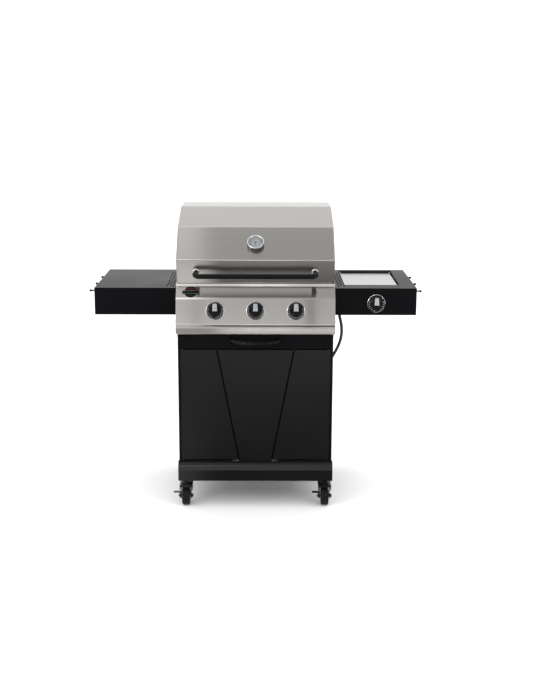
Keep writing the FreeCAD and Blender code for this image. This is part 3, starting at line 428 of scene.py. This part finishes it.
def graded(tree, share, across, plan):
    """Grey levels along a share, from one list of stops on the left to another on the right."""
    mix = tree.nodes.new("ShaderNodeMix")
    mix.data_type = "RGBA"
    tree.links.new(stepped(tree, across, plan["edge"], plan["softness"], 0.0, 1.0), mix.inputs["Factor"])
    for socket, side in (("A", "left"), ("B", "right")):
        stops = [(place / plan["span"], level / plan["strength"]) for place, level in plan[side]]
        tree.links.new(ramp_of(tree, share, stops), mix.inputs[socket])
    return mix.outputs["Result"]


def glowing(name, strength):
    """A material that only gives out light, with its tree and its shader."""
    material = bpy.data.materials.new(name)
    material.use_nodes = True
    tree = material.node_tree
    tree.nodes.remove(tree.nodes["Principled BSDF"])
    emission = tree.nodes.new("ShaderNodeEmission")
    emission.inputs["Strength"].default_value = strength
    tree.links.new(emission.outputs["Emission"], tree.nodes["Material Output"].inputs["Surface"])
    return material, tree, emission


def build_carpet():
    """A grey carpet in front, seen only by reflections, so that steel facing it stays grey."""
    material, tree, emission = glowing("carpet", CARPET["strength"])
    split = tree.nodes.new("ShaderNodeSeparateXYZ")
    tree.links.new(tree.nodes.new("ShaderNodeTexCoord").outputs["Object"], split.inputs["Vector"])
    away = math_of(tree, "MULTIPLY", split.outputs["Y"], -1.0 / CARPET["span"])
    tree.links.new(graded(tree, away, split.outputs["X"], CARPET), emission.inputs["Color"])
    x_range = (-CARPET_HALF_WIDTH, CARPET_HALF_WIDTH)
    corners = level_corners(x_range, (-CARPET["span"], CARPET_NEAR_EDGE), CARPET_HEIGHT)
    only_reflected(set_sheet("carpet", corners, material))


def build_cards():
    """Grey cards and lit patches whose images stand on the fascia."""
    low, high = STAND_HEIGHTS
    for name, (middle, half_width, level) in STANDS.items():
        left, right = middle - half_width, middle + half_width
        corners = [(x, STAND_Y, z) for x, z in ((left, low), (right, low), (right, high), (left, high))]
        only_reflected(set_sheet(name, corners, glowing(name, level)[0]))
    for name, x_range in SPILLS.items():
        corners = level_corners(x_range, SPILL_Y, SPILL_HEIGHT)
        only_reflected(set_sheet(name, corners, glowing(name, SPILL_LEVEL)[0]))


def build_world():
    """White walls to the eye and to matt surfaces, and a graded studio to the gloss."""
    world = bpy.data.worlds.new("studio")
    world.use_nodes = True
    world.cycles.sampling_method = "NONE"
    scene.world = world
    tree = world.node_tree
    split = tree.nodes.new("ShaderNodeSeparateXYZ")
    tree.links.new(tree.nodes.new("ShaderNodeTexCoord").outputs["Generated"], split.inputs["Vector"])
    forward = math_of(tree, "MULTIPLY", split.outputs["Y"], -1.0)
    swing = math_of(tree, "ARCTAN2", split.outputs["Z"], forward)
    share = math_of(tree, "DIVIDE", swing, math.pi)
    studio = tree.nodes.new("ShaderNodeBackground")
    studio.inputs["Strength"].default_value = STUDIO["strength"]
    tree.links.new(graded(tree, share, split.outputs["X"], STUDIO), studio.inputs["Color"])
    walls = tree.nodes["Background"]
    walls.inputs["Color"].default_value = (1.0, 1.0, 1.0, 1.0)
    walls.inputs["Strength"].default_value = WALL_STRENGTH
    mix = tree.nodes.new("ShaderNodeMixShader")
    glossy = tree.nodes.new("ShaderNodeLightPath").outputs["Is Glossy Ray"]
    tree.links.new(glossy, mix.inputs["Fac"])
    tree.links.new(walls.outputs["Background"], mix.inputs[1])
    tree.links.new(studio.outputs["Background"], mix.inputs[2])
    tree.links.new(mix.outputs["Shader"], tree.nodes["World Output"].inputs["Surface"])


def build_sun():
    """A very soft key light from above and a little in front, for matt surfaces only."""
    data = bpy.data.lights.new("key", "SUN")
    data.energy = 1.7
    data.angle = math.radians(110.0)
    lamp = bpy.data.objects.new("key", data)
    scene.collection.objects.link(lamp)
    lamp.rotation_euler = (math.radians(15.0), 0.0, 0.0)
    lamp.visible_glossy = False


def build_softbox(name, location, size, power):
    """A rectangular lamp aimed at the grill, for its highlights."""
    data = bpy.data.lights.new(name, "AREA")
    data.shape = "RECTANGLE"
    data.size, data.size_y = size
    data.energy = power
    lamp = bpy.data.objects.new(name, data)
    scene.collection.objects.link(lamp)
    aim = (Vector(LAMP_TARGET) - Vector(location)).to_track_quat("-Z", "Y")
    lamp.matrix_world = Matrix.Translation(location) @ aim.to_matrix().to_4x4()
    lamp.visible_camera = False


scene.view_settings.view_transform = "Standard"
build_floor()
build_carpet()
build_cards()
build_world()
build_sun()
build_softbox("left_box", (-2.6, -2.8, 1.9), (0.35, 0.9), 14.0)
build_softbox("right_box", (2.6, -2.4, 1.9), (0.3, 0.9), 9.0)


# ---------------------------------------------------------------- modelling helpers
def limits(label):
    """The lowest and the highest corner of a CAD node."""
    return [Vector(corner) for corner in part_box(label)]


def unmoved(*shapes):
    """Shapes paired with a placement that leaves them where they are."""
    return [(shape, Matrix()) for shape in shapes]


def turned(outline, closed=False, steps=72):
    """A shape turned about Z from (radius, height) corners; a closed outline makes a ring."""
    shape = bmesh.new()
    angles = [2 * math.pi * step / steps for step in range(steps)]
    rings = []
    for radius, height in outline:
        spots = [(radius * math.cos(angle), radius * math.sin(angle), height) for angle in angles]
        rings.append([shape.verts.new(spot) for spot in (spots if radius else spots[:1])])
    pairs = list(zip(rings, rings[1:]))
    if closed:
        pairs.append((rings[-1], rings[0]))
    for lower, upper in pairs:
        for step in range(steps):
            ahead = (step + 1) % steps
            corners = [lower[step % len(lower)], lower[ahead % len(lower)]]
            corners += [upper[ahead % len(upper)], upper[step % len(upper)]]
            shape.faces.new(dict.fromkeys(corners))
    return shape


def prism(outline, low, high):
    """A straight-sided shape over an (x, y) outline, between two heights."""
    shape = bmesh.new()
    floor = [shape.verts.new((x, y, low)) for x, y in outline]
    roof = [shape.verts.new((x, y, high)) for x, y in outline]
    shape.faces.new(floor)
    shape.faces.new(roof)
    for index in range(len(outline)):
        ahead = (index + 1) % len(outline)
        shape.faces.new((floor[index], floor[ahead], roof[ahead], roof[index]))
    return shape


def oblong(x_range, y_range, z_range):
    """A prism over a rectangle."""
    corners = [(x_range[i], y_range[j]) for i, j in ((0, 0), (1, 0), (1, 1), (0, 1))]
    return prism(corners, *z_range)


def gathered(shapes):
    """Several (shape, placement) pairs as one shape."""
    whole = bmesh.new()
    for shape, placement in shapes:
        shape.transform(placement)
        mesh = bpy.data.meshes.new("gathered")
        shape.to_mesh(mesh)
        shape.free()
        whole.from_mesh(mesh)
        bpy.data.meshes.remove(mesh)
    return whole


def piece(name, shape, material, body, seat=Matrix(), edge=0.0, stands_for=()):
    """Turn a shape into a finished object on a body, with its edges rounded by a width."""
    mesh = bpy.data.meshes.new(name)
    bmesh.ops.recalc_face_normals(shape, faces=shape.faces)
    shape.to_mesh(mesh)
    shape.free()
    mesh.shade_smooth()
    mesh.set_sharp_from_angle(angle=math.radians(38.0))
    made = bpy.data.objects.new(name, mesh)
    scene.collection.objects.link(made)
    made.matrix_world = seat
    if edge:
        rounding = made.modifiers.new("edges", "BEVEL")
        rounding.width = edge
        rounding.segments = 3
        rounding.limit_method = "ANGLE"
        rounding.angle_limit = math.radians(35.0)
        rounding.harden_normals = True
    finish_with(made, material)
    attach(made, body)
    if stands_for:
        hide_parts(*stands_for)
    return made


def seat_at(position, outward):
    """A placement with +Z along an outward direction and +X still to the user's right."""
    up = Vector(outward).normalized()
    right = Vector((1.0, 0.0, 0.0))
    back = up.cross(right)
    return Matrix.Translation(position) @ Matrix((right, back, up)).transposed().to_4x4()


def rounded_path(corners, radii, steps=6):
    """The (y, z) points of a path whose inner corners are rounded, one radius for each."""
    spots = [Vector(corner) for corner in corners]
    path = [spots[0]]
    for index, radius in enumerate(radii, start=1):
        back = (spots[index - 1] - spots[index]).normalized()
        ahead = (spots[index + 1] - spots[index]).normalized()
        half_turn = (math.pi - back.angle(ahead)) / 2
        middle = spots[index] + (back + ahead).normalized() * (radius / math.cos(half_turn))
        start = spots[index] + back * radius * math.tan(half_turn) - middle
        sweep = 2 * half_turn * math.copysign(1.0, back.cross(ahead))
        for step in range(steps + 1):
            path.append(middle + start @ Matrix.Rotation(sweep * step / steps, 2))
    path.append(spots[-1])
    return path


def folded_sheet(path, half_width, gauge, inward):
    """Sheet metal along a (y, z) path, as wide as twice half_width, thickened to one side."""
    inner = []
    for index, spot in enumerate(path):
        before, after = path[max(index - 1, 0)], path[min(index + 1, len(path) - 1)]
        run = (after - before).normalized()
        inner.append(spot + Vector((-run.y, run.x)) * gauge * inward)
    loop = path + inner[::-1]
    shape = bmesh.new()
    left = [shape.verts.new((-half_width, *spot)) for spot in loop]
    right = [shape.verts.new((half_width, *spot)) for spot in loop]
    for index in range(len(loop)):
        ahead = (index + 1) % len(loop)
        shape.faces.new((left[index], left[ahead], right[ahead], right[index]))
    for side in (left, right):
        for index in range(len(path) - 1):
            mirror = len(loop) - 1 - index
            shape.faces.new((side[index], side[index + 1], side[mirror - 1], side[mirror]))
    return shape


# ---------------------------------------------------------------- lid and control panel
# Profiles are (y, z) points, with one bend radius for each inner corner.
LID_PROFILE = [
    (-0.201, 0.897), (-0.231, 0.993), (-0.112, 1.105), (0.082, 1.1644),
    (0.270, 1.1644), (0.288, 1.1424), (0.288, 0.897),
]
LID_BENDS = [0.006, 0.011, 0.008, 0.01, 0.01]
# Above the hinge brackets, so that the sheet's rear edge clears them as the lid opens.
LID_REAR_EDGE = 0.916
SHEET_GAUGE = 0.0015
HEM_PROFILE = [(-0.2025, 0.8985), (-0.1955, 0.8985), (-0.1985, 0.9095)]
HEM_BENDS = [0.001]
HEM_INSET = 0.002
HEM_GAUGE = 0.001
PANEL_PROFILE = [
    (-0.178, 0.8947), (-0.1885, 0.8947), (-0.1885, 0.8827), (-0.223, 0.841), (-0.2485, 0.7415),
    (-0.2455, 0.7345), (-0.2475, 0.7285), (-0.247, 0.704), (-0.236, 0.704), (-0.187, 0.722),
]
PANEL_BENDS = [0.0025, 0.002, 0.026, 0.012, 0.0015, 0.002, 0.002, 0.002]
PANEL_END_INSET = 0.0001


def build_lid():
    """The folded lid sheet with its rolled lip, and the two closing caps."""
    half_width = limits("lid_skin")[1].x
    path = rounded_path(LID_PROFILE, LID_BENDS)
    sheet = folded_sheet(path[:-1] + [Vector((path[-1].x, LID_REAR_EDGE))], half_width, SHEET_GAUGE, -1)
    piece("lid_sheet", sheet, "stainless", "lid", stands_for=["lid_skin"])
    hem = folded_sheet(rounded_path(HEM_PROFILE, HEM_BENDS), half_width - HEM_INSET, HEM_GAUGE, 1)
    piece("lid_hem", hem, "stainless", "lid")
    width = limits("lid_end_caps")[1].x - half_width
    caps = []
    for side in (-1, 1):
        rim = folded_sheet(path, width / 2, SHEET_GAUGE, -1)
        caps.append((rim, Matrix.Translation((side * (half_width + width / 2), 0.0, 0.0))))
        plate = bmesh.new()
        outer = side * (half_width + width)
        for x in (outer, outer - side * SHEET_GAUGE):
            plate.faces.new([plate.verts.new((x, *spot)) for spot in path])
        caps += unmoved(plate)
    piece("lid_caps", gathered(caps), "stainless_side", "lid", stands_for=["lid_end_caps"])


def build_panel():
    """The folded fascia with its rolled break, a beaded foot and closed ends."""
    half_width = limits("control_panel")[1].x
    path = rounded_path(PANEL_PROFILE, PANEL_BENDS)
    fascia = folded_sheet(path, half_width, SHEET_GAUGE, 1)
    ends = bmesh.new()
    for side in (-1, 1):
        for x in (half_width - PANEL_END_INSET, half_width - SHEET_GAUGE):
            ends.faces.new([ends.verts.new((side * x, *spot)) for spot in path])
    piece("fascia", gathered(unmoved(fascia, ends)), "stainless", "cart", stands_for=["control_panel"])


build_lid()
build_panel()


# ---------------------------------------------------------------- knobs
KNOBS = ("left", "centre", "right", "side")
# Outlines are (radius, height) points about the knob's axis; the heights start at its joint.
BEZEL = [
    (0.0325, 0.0), (0.0360, 0.0), (0.0362, 0.0030), (0.0361, 0.0065), (0.0356, 0.0085),
    (0.0347, 0.0098), (0.0338, 0.0101), (0.0330, 0.0096), (0.0326, 0.0085),
]
KNOB_SKIRT = [
    (0.0042, 0.0060), (0.0305, 0.0060), (0.0313, 0.0068), (0.0315, 0.0080), (0.0315, 0.0115),
    (0.0310, 0.0133), (0.0296, 0.0150), (0.0265, 0.0165), (0.0215, 0.0175), (0.0140, 0.0181),
    (0.0, 0.0183),
]
GRIP_LENGTH = 0.0265
GRIP_END_HALF = 0.0082
GRIP_TAIL_HALF = 0.9 * GRIP_END_HALF
GRIP_WAIST_HALF = 0.0102
GRIP_WAIST_AT = -0.003
GRIP_FOOT = 0.0165
GRIP_TOP = 0.0352
INLAY_MARGIN = 0.0009
INLAY_LENGTH = GRIP_LENGTH - 0.0012
INLAY_HALF_THICKNESS = 0.0006
CAP_Y = (GRIP_LENGTH - 0.0002, GRIP_LENGTH + 0.0008)
CAP_Z = (0.0195, GRIP_TOP - 0.0012)
# Mark and dial angles are in degrees, anticlockwise from the top.
MARK_COUNT = 13
MARK_START = 75.0
MARK_STEP = 17.5
MARK_BOX = [(-0.0006, 0.0006), (0.0258, 0.0296), (0.0150, 0.0172)]


def build_grip(body, seat):
    """A waisted grip with its pale inlay and bright end cap."""
    right = [
        (GRIP_TAIL_HALF, -GRIP_LENGTH), (GRIP_WAIST_HALF, GRIP_WAIST_AT), (GRIP_END_HALF, GRIP_LENGTH),
    ]
    grip = prism(right + [(-x, y) for x, y in reversed(right)], GRIP_FOOT, GRIP_TOP)
    piece(f"{body}_grip", grip, "knob_black", body, seat, edge=0.0022)
    end, waist = GRIP_END_HALF - INLAY_MARGIN, GRIP_WAIST_HALF - INLAY_MARGIN
    inlay = [(end, INLAY_LENGTH), (waist, GRIP_WAIST_AT), (-waist, GRIP_WAIST_AT), (-end, INLAY_LENGTH)]
    plate = prism(inlay, GRIP_TOP - INLAY_HALF_THICKNESS, GRIP_TOP + INLAY_HALF_THICKNESS)
    piece(f"{body}_inlay", plate, "inlay", body, seat, edge=0.0004)
    piece(f"{body}_cap", oblong((-end, end), CAP_Y, CAP_Z), "chrome", body, seat, edge=0.0004)


def build_knobs():
    """Four knobs with a skirt, a grip and printed marks, each in its bezel."""
    rings = []
    for name in KNOBS:
        body = f"{name}_knob"
        joint = joints[f"{body}_turn"]
        seat = seat_at(joint["pos_m"], joint["axis"])
        rings.append((turned(BEZEL, closed=True), seat))
        skirt = piece(f"{body}_skirt", turned(KNOB_SKIRT), "knob_black", body, seat, stands_for=[body])
        build_grip(body, seat)
        marks = []
        for step in range(MARK_COUNT):
            turn = Matrix.Rotation(math.radians(MARK_START + MARK_STEP * step), 4, "Z")
            marks.append((oblong(*MARK_BOX), turn))
        piece(f"{body}_marks", gathered(marks), "dial_white", body, seat)
    piece("bezel_rings", gathered(rings), "chrome", "cart", stands_for=["knob_bezels"])


build_knobs()


# ---------------------------------------------------------------- thermometer
# Outlines are (radius, height) points about the gauge's axis; the heights start at the lid.
CASE = [
    (0.0, 0.0003), (0.0318, 0.0003), (0.0332, 0.0015), (0.0336, 0.0040), (0.0336, 0.0158),
    (0.0331, 0.0172), (0.0316, 0.0180), (0.0300, 0.0180), (0.0256, 0.0140), (0.0250, 0.0134),
    (0.0249, 0.0128), (0.0, 0.0128),
]
PROBE = [(0.0, -0.040), (0.0022, -0.040), (0.003, -0.037), (0.003, 0.001), (0.0, 0.001)]
NUT_RADIUS = 0.009
NUT_HEIGHTS = (-0.008, -0.002)
RIM = [
    (0.0300, 0.0178), (0.0328, 0.0172), (0.0330, 0.0182), (0.0325, 0.0193), (0.0314, 0.0201),
    (0.0300, 0.0202), (0.0287, 0.0197), (0.0277, 0.0184), (0.0270, 0.0164), (0.0262, 0.0142),
]
LENS = [
    (0.0, 0.0182), (0.0140, 0.0179), (0.0225, 0.0172), (0.0256, 0.0166), (0.0256, 0.0158), (0.0, 0.0168),
]
DIAL_RADIUS = 0.0248
DIAL_HEIGHT = 0.0138
DIAL_BACK = DIAL_HEIGHT - 0.0006
POST_FOOT = DIAL_HEIGHT - 0.001
POST = [(0.0, POST_FOOT), (0.001, POST_FOOT), (0.001, 0.0172), (0.0006, 0.0175), (0.0, 0.0175)]
PRINT_HEIGHTS = (DIAL_HEIGHT, DIAL_HEIGHT + 0.0003)
DIAL_RINGS = [(0.0098, 0.0118), (0.0228, 0.0234)]
NEEDLE_TRAVEL = 240.0
TICK_STEPS = 24
LONG_EVERY = 4
TICK_OUTER = 0.0222
LONG_TICK = {"half": 0.0004, "inner": 0.0185}
SHORT_TICK = {"half": 0.0002, "inner": 0.0202}
PIVOT_HEIGHT = 0.0155
NEEDLE_REST = 176.0
NEEDLE_HUB = [(0.00105, 0.0150), (0.0028, 0.0150), (0.003, 0.0154), (0.0026, 0.0160), (0.00105, 0.0162)]
POINTER = [(-0.0012, -0.006), (0.0012, -0.006), (0.0006, 0.0195), (0.0, 0.0205), (-0.0006, 0.0195)]
POINTER_HEIGHTS = (0.0150, 0.0158)


def on_arc(radius, degrees, squash=1.0):
    """A point on a round or flattened outline."""
    angle = math.radians(degrees)
    return (radius * math.cos(angle), radius * squash * math.sin(angle))


def build_case(seat):
    """The gauge's dark case with its probe and nut behind the lid, and its chrome rim."""
    nut = prism([on_arc(NUT_RADIUS, 60.0 * corner) for corner in range(6)], *NUT_HEIGHTS)
    case = gathered(unmoved(turned(CASE), turned(PROBE, steps=24), nut))
    piece("gauge_case", case, "dark_chrome", "lid", seat, stands_for=["thermometer_case"])
    piece("gauge_rim", turned(RIM, closed=True), "chrome", "lid", seat)


def build_dial(seat):
    """The dial on its post, with two printed rings and a scale of ticks."""
    face = [(0.0, DIAL_BACK), (DIAL_RADIUS, DIAL_BACK), (DIAL_RADIUS, DIAL_HEIGHT), (0.0, DIAL_HEIGHT)]
    shape = gathered(unmoved(turned(face), turned(POST, steps=24)))
    dial = piece("gauge_dial", shape, "dial_face", "lid", seat, stands_for=["thermometer_dial"])
    low, high = PRINT_HEIGHTS
    rings = []
    for inner, outer in DIAL_RINGS:
        rings.append(turned([(inner, low), (outer, low), (outer, high), (inner, high)], closed=True))
    piece("gauge_rings", gathered(unmoved(*rings)), "dial_white", "lid", seat)
    ticks = []
    for step in range(TICK_STEPS + 1):
        size = SHORT_TICK if step % LONG_EVERY else LONG_TICK
        angle = -NEEDLE_TRAVEL / 2 + step * NEEDLE_TRAVEL / TICK_STEPS
        tick = oblong((-size["half"], size["half"]), (size["inner"], TICK_OUTER), PRINT_HEIGHTS)
        ticks.append((tick, Matrix.Rotation(math.radians(angle), 4, "Z")))
    piece("gauge_ticks", gathered(ticks), "dial_print", "lid", seat)


def build_needle(seat):
    """The needle and its hub, pointing down at rest."""
    hub = turned(NEEDLE_HUB, closed=True, steps=32)
    pointer = (prism(POINTER, *POINTER_HEIGHTS), Matrix.Rotation(math.radians(NEEDLE_REST), 4, "Z"))
    hand = gathered(unmoved(hub) + [pointer])
    needle = piece("gauge_needle", hand, "needle_red", "needle", seat, stands_for=["thermometer_needle"])


def build_thermometer():
    """The lid's gauge: case, dial, needle and lens."""
    joint = joints["needle_pivot"]
    outward = -Vector(joint["axis"])
    seat = seat_at(Vector(joint["pos_m"]) - outward * PIVOT_HEIGHT, outward)
    build_case(seat)
    build_dial(seat)
    build_needle(seat)
    piece("gauge_lens", turned(LENS), "lens", "lid", seat)


build_thermometer()


# ---------------------------------------------------------------- badge, screws, handle washers
BADGE_OUTWARD = (0.0, -0.0435, 0.036)
BADGE_THICKNESS = 0.0032
BADGE_DISC = [
    (0.0, 0.0), (0.0245, 0.0), (0.0245, 0.0014), (0.0239, 0.002), (0.0228, 0.002), (0.0223, 0.0015),
    (0.0, 0.0015),
]
FIELD_RADIUS = 0.0217
FIELD_START = 28.0
FIELD_SWEEP = 124.0
FIELD_STEPS = 16
FIELD_HEIGHTS = (0.0014, 0.0018)
BADGE_BAND = [(-0.032, 0.032), (-0.009, 0.006), (0.0, BADGE_THICKNESS)]
BADGE_LINE_HALF = 0.030
BADGE_LINE_WIDTH = 0.0006
BADGE_LINES_AT = (-0.0078, 0.0042)
SCREW_HEAD = [
    (0.0, 0.0), (0.0045, 0.0), (0.0045, 0.0006), (0.0041, 0.0015), (0.0031, 0.0022), (0.0017, 0.0025),
    (0.0012, 0.0014), (0.0, 0.0014),
]
PANEL_SCREWS = [(-0.232, 0.722), (-0.232, 0.752)]
CABINET_SCREWS = [(y, height) for y in (-0.215, 0.0, 0.240) for height in (0.150, 0.690)]
WASHER = [
    (0.0, 0.0), (0.0124, 0.0), (0.013, 0.0008), (0.0128, 0.0022), (0.0121, 0.0036), (0.0111, 0.0046),
    (0.0098, 0.005), (0.0, 0.005),
]
WASHER_RADIUS = 0.013
WASHER_THICKNESS = 0.005
WASHER_OUTWARD = (0.0, -0.096, -0.030)


def build_badge():
    """Plain round badge with a coloured upper field and a plain band across it."""
    low, high = limits("badge")
    outward = Vector(BADGE_OUTWARD).normalized()
    seat = seat_at((low + high) / 2 - outward * BADGE_THICKNESS / 2, outward)
    plate = piece("badge_disc", turned(BADGE_DISC), "badge_gloss", "cart", seat, stands_for=["badge"])
    angles = [FIELD_START + FIELD_SWEEP * step / FIELD_STEPS for step in range(FIELD_STEPS + 1)]
    field = prism([on_arc(FIELD_RADIUS, angle) for angle in angles], *FIELD_HEIGHTS)
    piece("badge_field", field, "badge_red", "cart", seat, edge=0.0001)
    piece("badge_band", oblong(*BADGE_BAND), "badge_gloss", "cart", seat, edge=0.0006)
    x_range = (-BADGE_LINE_HALF, BADGE_LINE_HALF)
    z_range = (BADGE_THICKNESS - 0.0002, BADGE_THICKNESS + 0.0002)
    lines = [oblong(x_range, (y, y + BADGE_LINE_WIDTH), z_range) for y in BADGE_LINES_AT]
    piece("badge_lines", gathered(unmoved(*lines)), "inlay", "cart", seat)


def build_screws():
    """Domed screw heads on the fascia's ends and the cabinet's sides."""
    panel_edge = limits("control_panel")[1].x
    cabinet_edge = limits("side_panels")[1].x
    spots = [(panel_edge, *spot) for spot in PANEL_SCREWS]
    spots += [(cabinet_edge, *spot) for spot in CABINET_SCREWS]
    heads = []
    for side in (-1, 1):
        outward = Matrix.Rotation(side * math.pi / 2, 4, "Y")
        for x, y, height in spots:
            heads.append((turned(SCREW_HEAD, steps=24), Matrix.Translation((side * x, y, height)) @ outward))
    piece("screw_heads", gathered(heads), "zinc", "cart", stands_for=["screws"])


def build_washers():
    """Domed chrome washers under the feet of the lid handle."""
    low, high = limits("handle_bezels")
    outward = Vector(WASHER_OUTWARD).normalized()
    foot = (low + high) / 2 - outward * WASHER_THICKNESS / 2
    rings = []
    for side in (-1, 1):
        x = side * (high.x - WASHER_RADIUS)
        rings.append((turned(WASHER), seat_at((x, foot.y, foot.z), outward)))
    piece("handle_washers", gathered(rings), "chrome", "lid", stands_for=["handle_bezels"])


build_badge()
build_screws()
build_washers()


# ---------------------------------------------------------------- casters
TREAD = [
    (0.0215, 0.0150), (0.0300, 0.0154), (0.0335, 0.0148), (0.0352, 0.0128), (0.0359, 0.0090),
    (0.0360, 0.0045), (0.0354, 0.0036), (0.0360, 0.0027),
]
HUB = [
    (0.0041, 0.0155), (0.0095, 0.0155), (0.0105, 0.0145), (0.0125, 0.0105), (0.0185, 0.0105),
    (0.0205, 0.0135), (0.0222, 0.0140),
]
SPOKES = 6
SPOKE_BOX = [(0.0115, 0.0205), (-0.0012, 0.0012), (-0.0138, 0.0138)]


def mirrored(outline):
    """A half outline with its other half below Z."""
    return outline + [(radius, -height) for radius, height in reversed(outline)]


def build_wheels():
    """Rubber tyres with a grooved tread on ribbed hubs."""
    for corner in ("front_left", "front_right", "rear_left", "rear_right"):
        body = f"{corner}_wheel"
        seat = Matrix.Translation(joints[f"{corner}_spin"]["pos_m"]) @ Matrix.Rotation(math.pi / 2, 4, "Y")
        tread = turned(mirrored(TREAD), closed=True)
        tyre = piece(f"{corner}_tyre", tread, "tyre", body, seat, stands_for=[body])
        parts = unmoved(turned(mirrored(HUB), closed=True))
        for spoke in range(SPOKES):
            parts.append((oblong(*SPOKE_BOX), Matrix.Rotation(spoke * 2 * math.pi / SPOKES, 4, "Z")))
        piece(f"{corner}_hub", gathered(parts), "hub_grey", body, seat)


build_wheels()


# ---------------------------------------------------------------- hose ends
FERRULE = [
    (0.0, 0.0), (0.0076, 0.0), (0.008, 0.001), (0.008, 0.006), (0.0074, 0.007), (0.0074, 0.0105),
    (0.008, 0.0115), (0.008, 0.018), (0.0072, 0.019), (0.0, 0.019),
]


def build_ferrules():
    """A crimped sleeve at each end of the hose."""
    ends = []
    for start, toward in ((HOSE_ROUTE[0], HOSE_ROUTE[1]), (HOSE_ROUTE[-1], HOSE_ROUTE[-2])):
        run = (Vector(toward) - Vector(start)).to_track_quat("Z", "Y").to_matrix().to_4x4()
        ends.append((turned(FERRULE, steps=32), Matrix.Translation(start) @ run))
    piece("hose_ferrules", gathered(ends), "zinc", "cart")


build_ferrules()


# ---------------------------------------------------------------- painted shade behind the door gaps, and the side burner's tab
VEE_FOOT_HALF = 0.063
# Painted shade: dark strips behind the door gaps, which block the light seen through them.
GAP_SHADE_HALF = 0.012
GAP_SHADE_THICKNESS = 0.002
GAP_SHADE_BEHIND = 0.0025
TAB_HALF_WIDTH = 0.019
TAB_REACH = 0.009
TAB_THICKNESS = 0.0026
TAB_STEPS = 16
TAB_SET_BACK = 0.007
TAB_SINK = 0.0004


def build_gap_shades():
    """Painted shade: dark strips behind the two sloping gaps between the doors and the centre panel,
    standing in for the shade inside the cabinet.
    """
    low, high = limits("centre_panel")
    strips = []
    for side in (-1, 1):
        outline = [
            (side * (VEE_FOOT_HALF - GAP_SHADE_HALF), low.z), (side * (VEE_FOOT_HALF + GAP_SHADE_HALF), low.z),
            (side * (high.x + GAP_SHADE_HALF), high.z), (side * (high.x - GAP_SHADE_HALF), high.z),
        ]
        strips.append(prism(outline, 0.0, GAP_SHADE_THICKNESS))
    upright = Matrix.Translation((0.0, high.y + GAP_SHADE_BEHIND, 0.0)) @ Matrix.Rotation(math.pi / 2, 4, "X")
    # The strips take the tyre's black only to darken the gaps with painted shade.
    piece("gap_shade_strips", gathered(unmoved(*strips)), "tyre", "cart", upright, edge=0.0004)


def build_tab():
    """A half-round finger tab on the front edge of the side burner's cover."""
    low, high = limits("side_burner_lid")
    flattening = TAB_REACH / TAB_HALF_WIDTH
    angles = [180.0 * (1 + step / TAB_STEPS) for step in range(TAB_STEPS + 1)]
    outline = [on_arc(TAB_HALF_WIDTH, angle, flattening) for angle in angles]
    tab = prism(outline, 0.0, TAB_THICKNESS)
    seat = Matrix.Translation(((low.x + high.x) / 2, low.y + TAB_SET_BACK, high.z - TAB_SINK))
    piece("side_lid_tab", tab, "handle_black", "side_lid", seat, edge=0.0006)


build_gap_shades()
build_tab()


# ---------------------------------------------------------------- CAD nodes that stay
FOLD_RADIUS = 0.0009


def round_edges(label):
    """Merge a sheet-metal node's facets and round its sharp edges."""
    node = nodes[label]
    weld = node.modifiers.new("weld", "WELD")
    weld.merge_threshold = 0.00001
    planar = node.modifiers.new("planar", "DECIMATE")
    planar.decimate_type = "DISSOLVE"
    planar.angle_limit = math.radians(1.0)
    bevel = node.modifiers.new("edges", "BEVEL")
    bevel.width = FOLD_RADIUS
    bevel.segments = 3
    bevel.limit_method = "ANGLE"
    bevel.angle_limit = math.radians(30.0)
    shading = node.modifiers.new("shading", "WEIGHTED_NORMAL")
    shading.keep_sharp = True


KEPT = {
    "stainless_flat": ["side_burner_lid"],
    "black_coat": [
        "base_shelf", "side_panels", "back_panel", "cabinet_frame", "centre_panel",
        "left_door", "right_door",
    ],
    "shelf_coat": ["left_shelf", "right_shelf", "drip_tray_front"],
    "plinth_coat": ["plinth_front"],
    "handle_black": ["lid_handle", "drawer_handle", "tool_pegs"],
    "chrome": ["warming_rack"],
    "enamel_black": [
        "firebox", "side_burner_pan", "caster_plates", "front_left_fork", "front_right_fork",
        "rear_left_fork", "rear_right_fork", "front_left_brake_lever", "front_right_brake_lever",
    ],
    "zinc": [
        "drip_tray", "door_hardware", "lid_hinge_brackets", "manifold_pipe",
        "left_valve_stem", "centre_valve_stem", "right_valve_stem", "side_valve_stem",
    ],
    "cast_iron": ["cooking_grates", "side_burner_grate", "side_burner_head"],
    "burner_steel": ["burners", "flame_tamers", "igniter_electrodes"],
    "brass": ["gas_valves", "gas_fittings"],
}
for material_name, labels in KEPT.items():
    for label in labels:
        finish_with(nodes[label], material_name)

folded = ["side_burner_lid", "drip_tray"]
for group in ("black_coat", "shelf_coat", "plinth_coat", "enamel_black"):
    folded += KEPT[group]
for label in folded:
    round_edges(label)
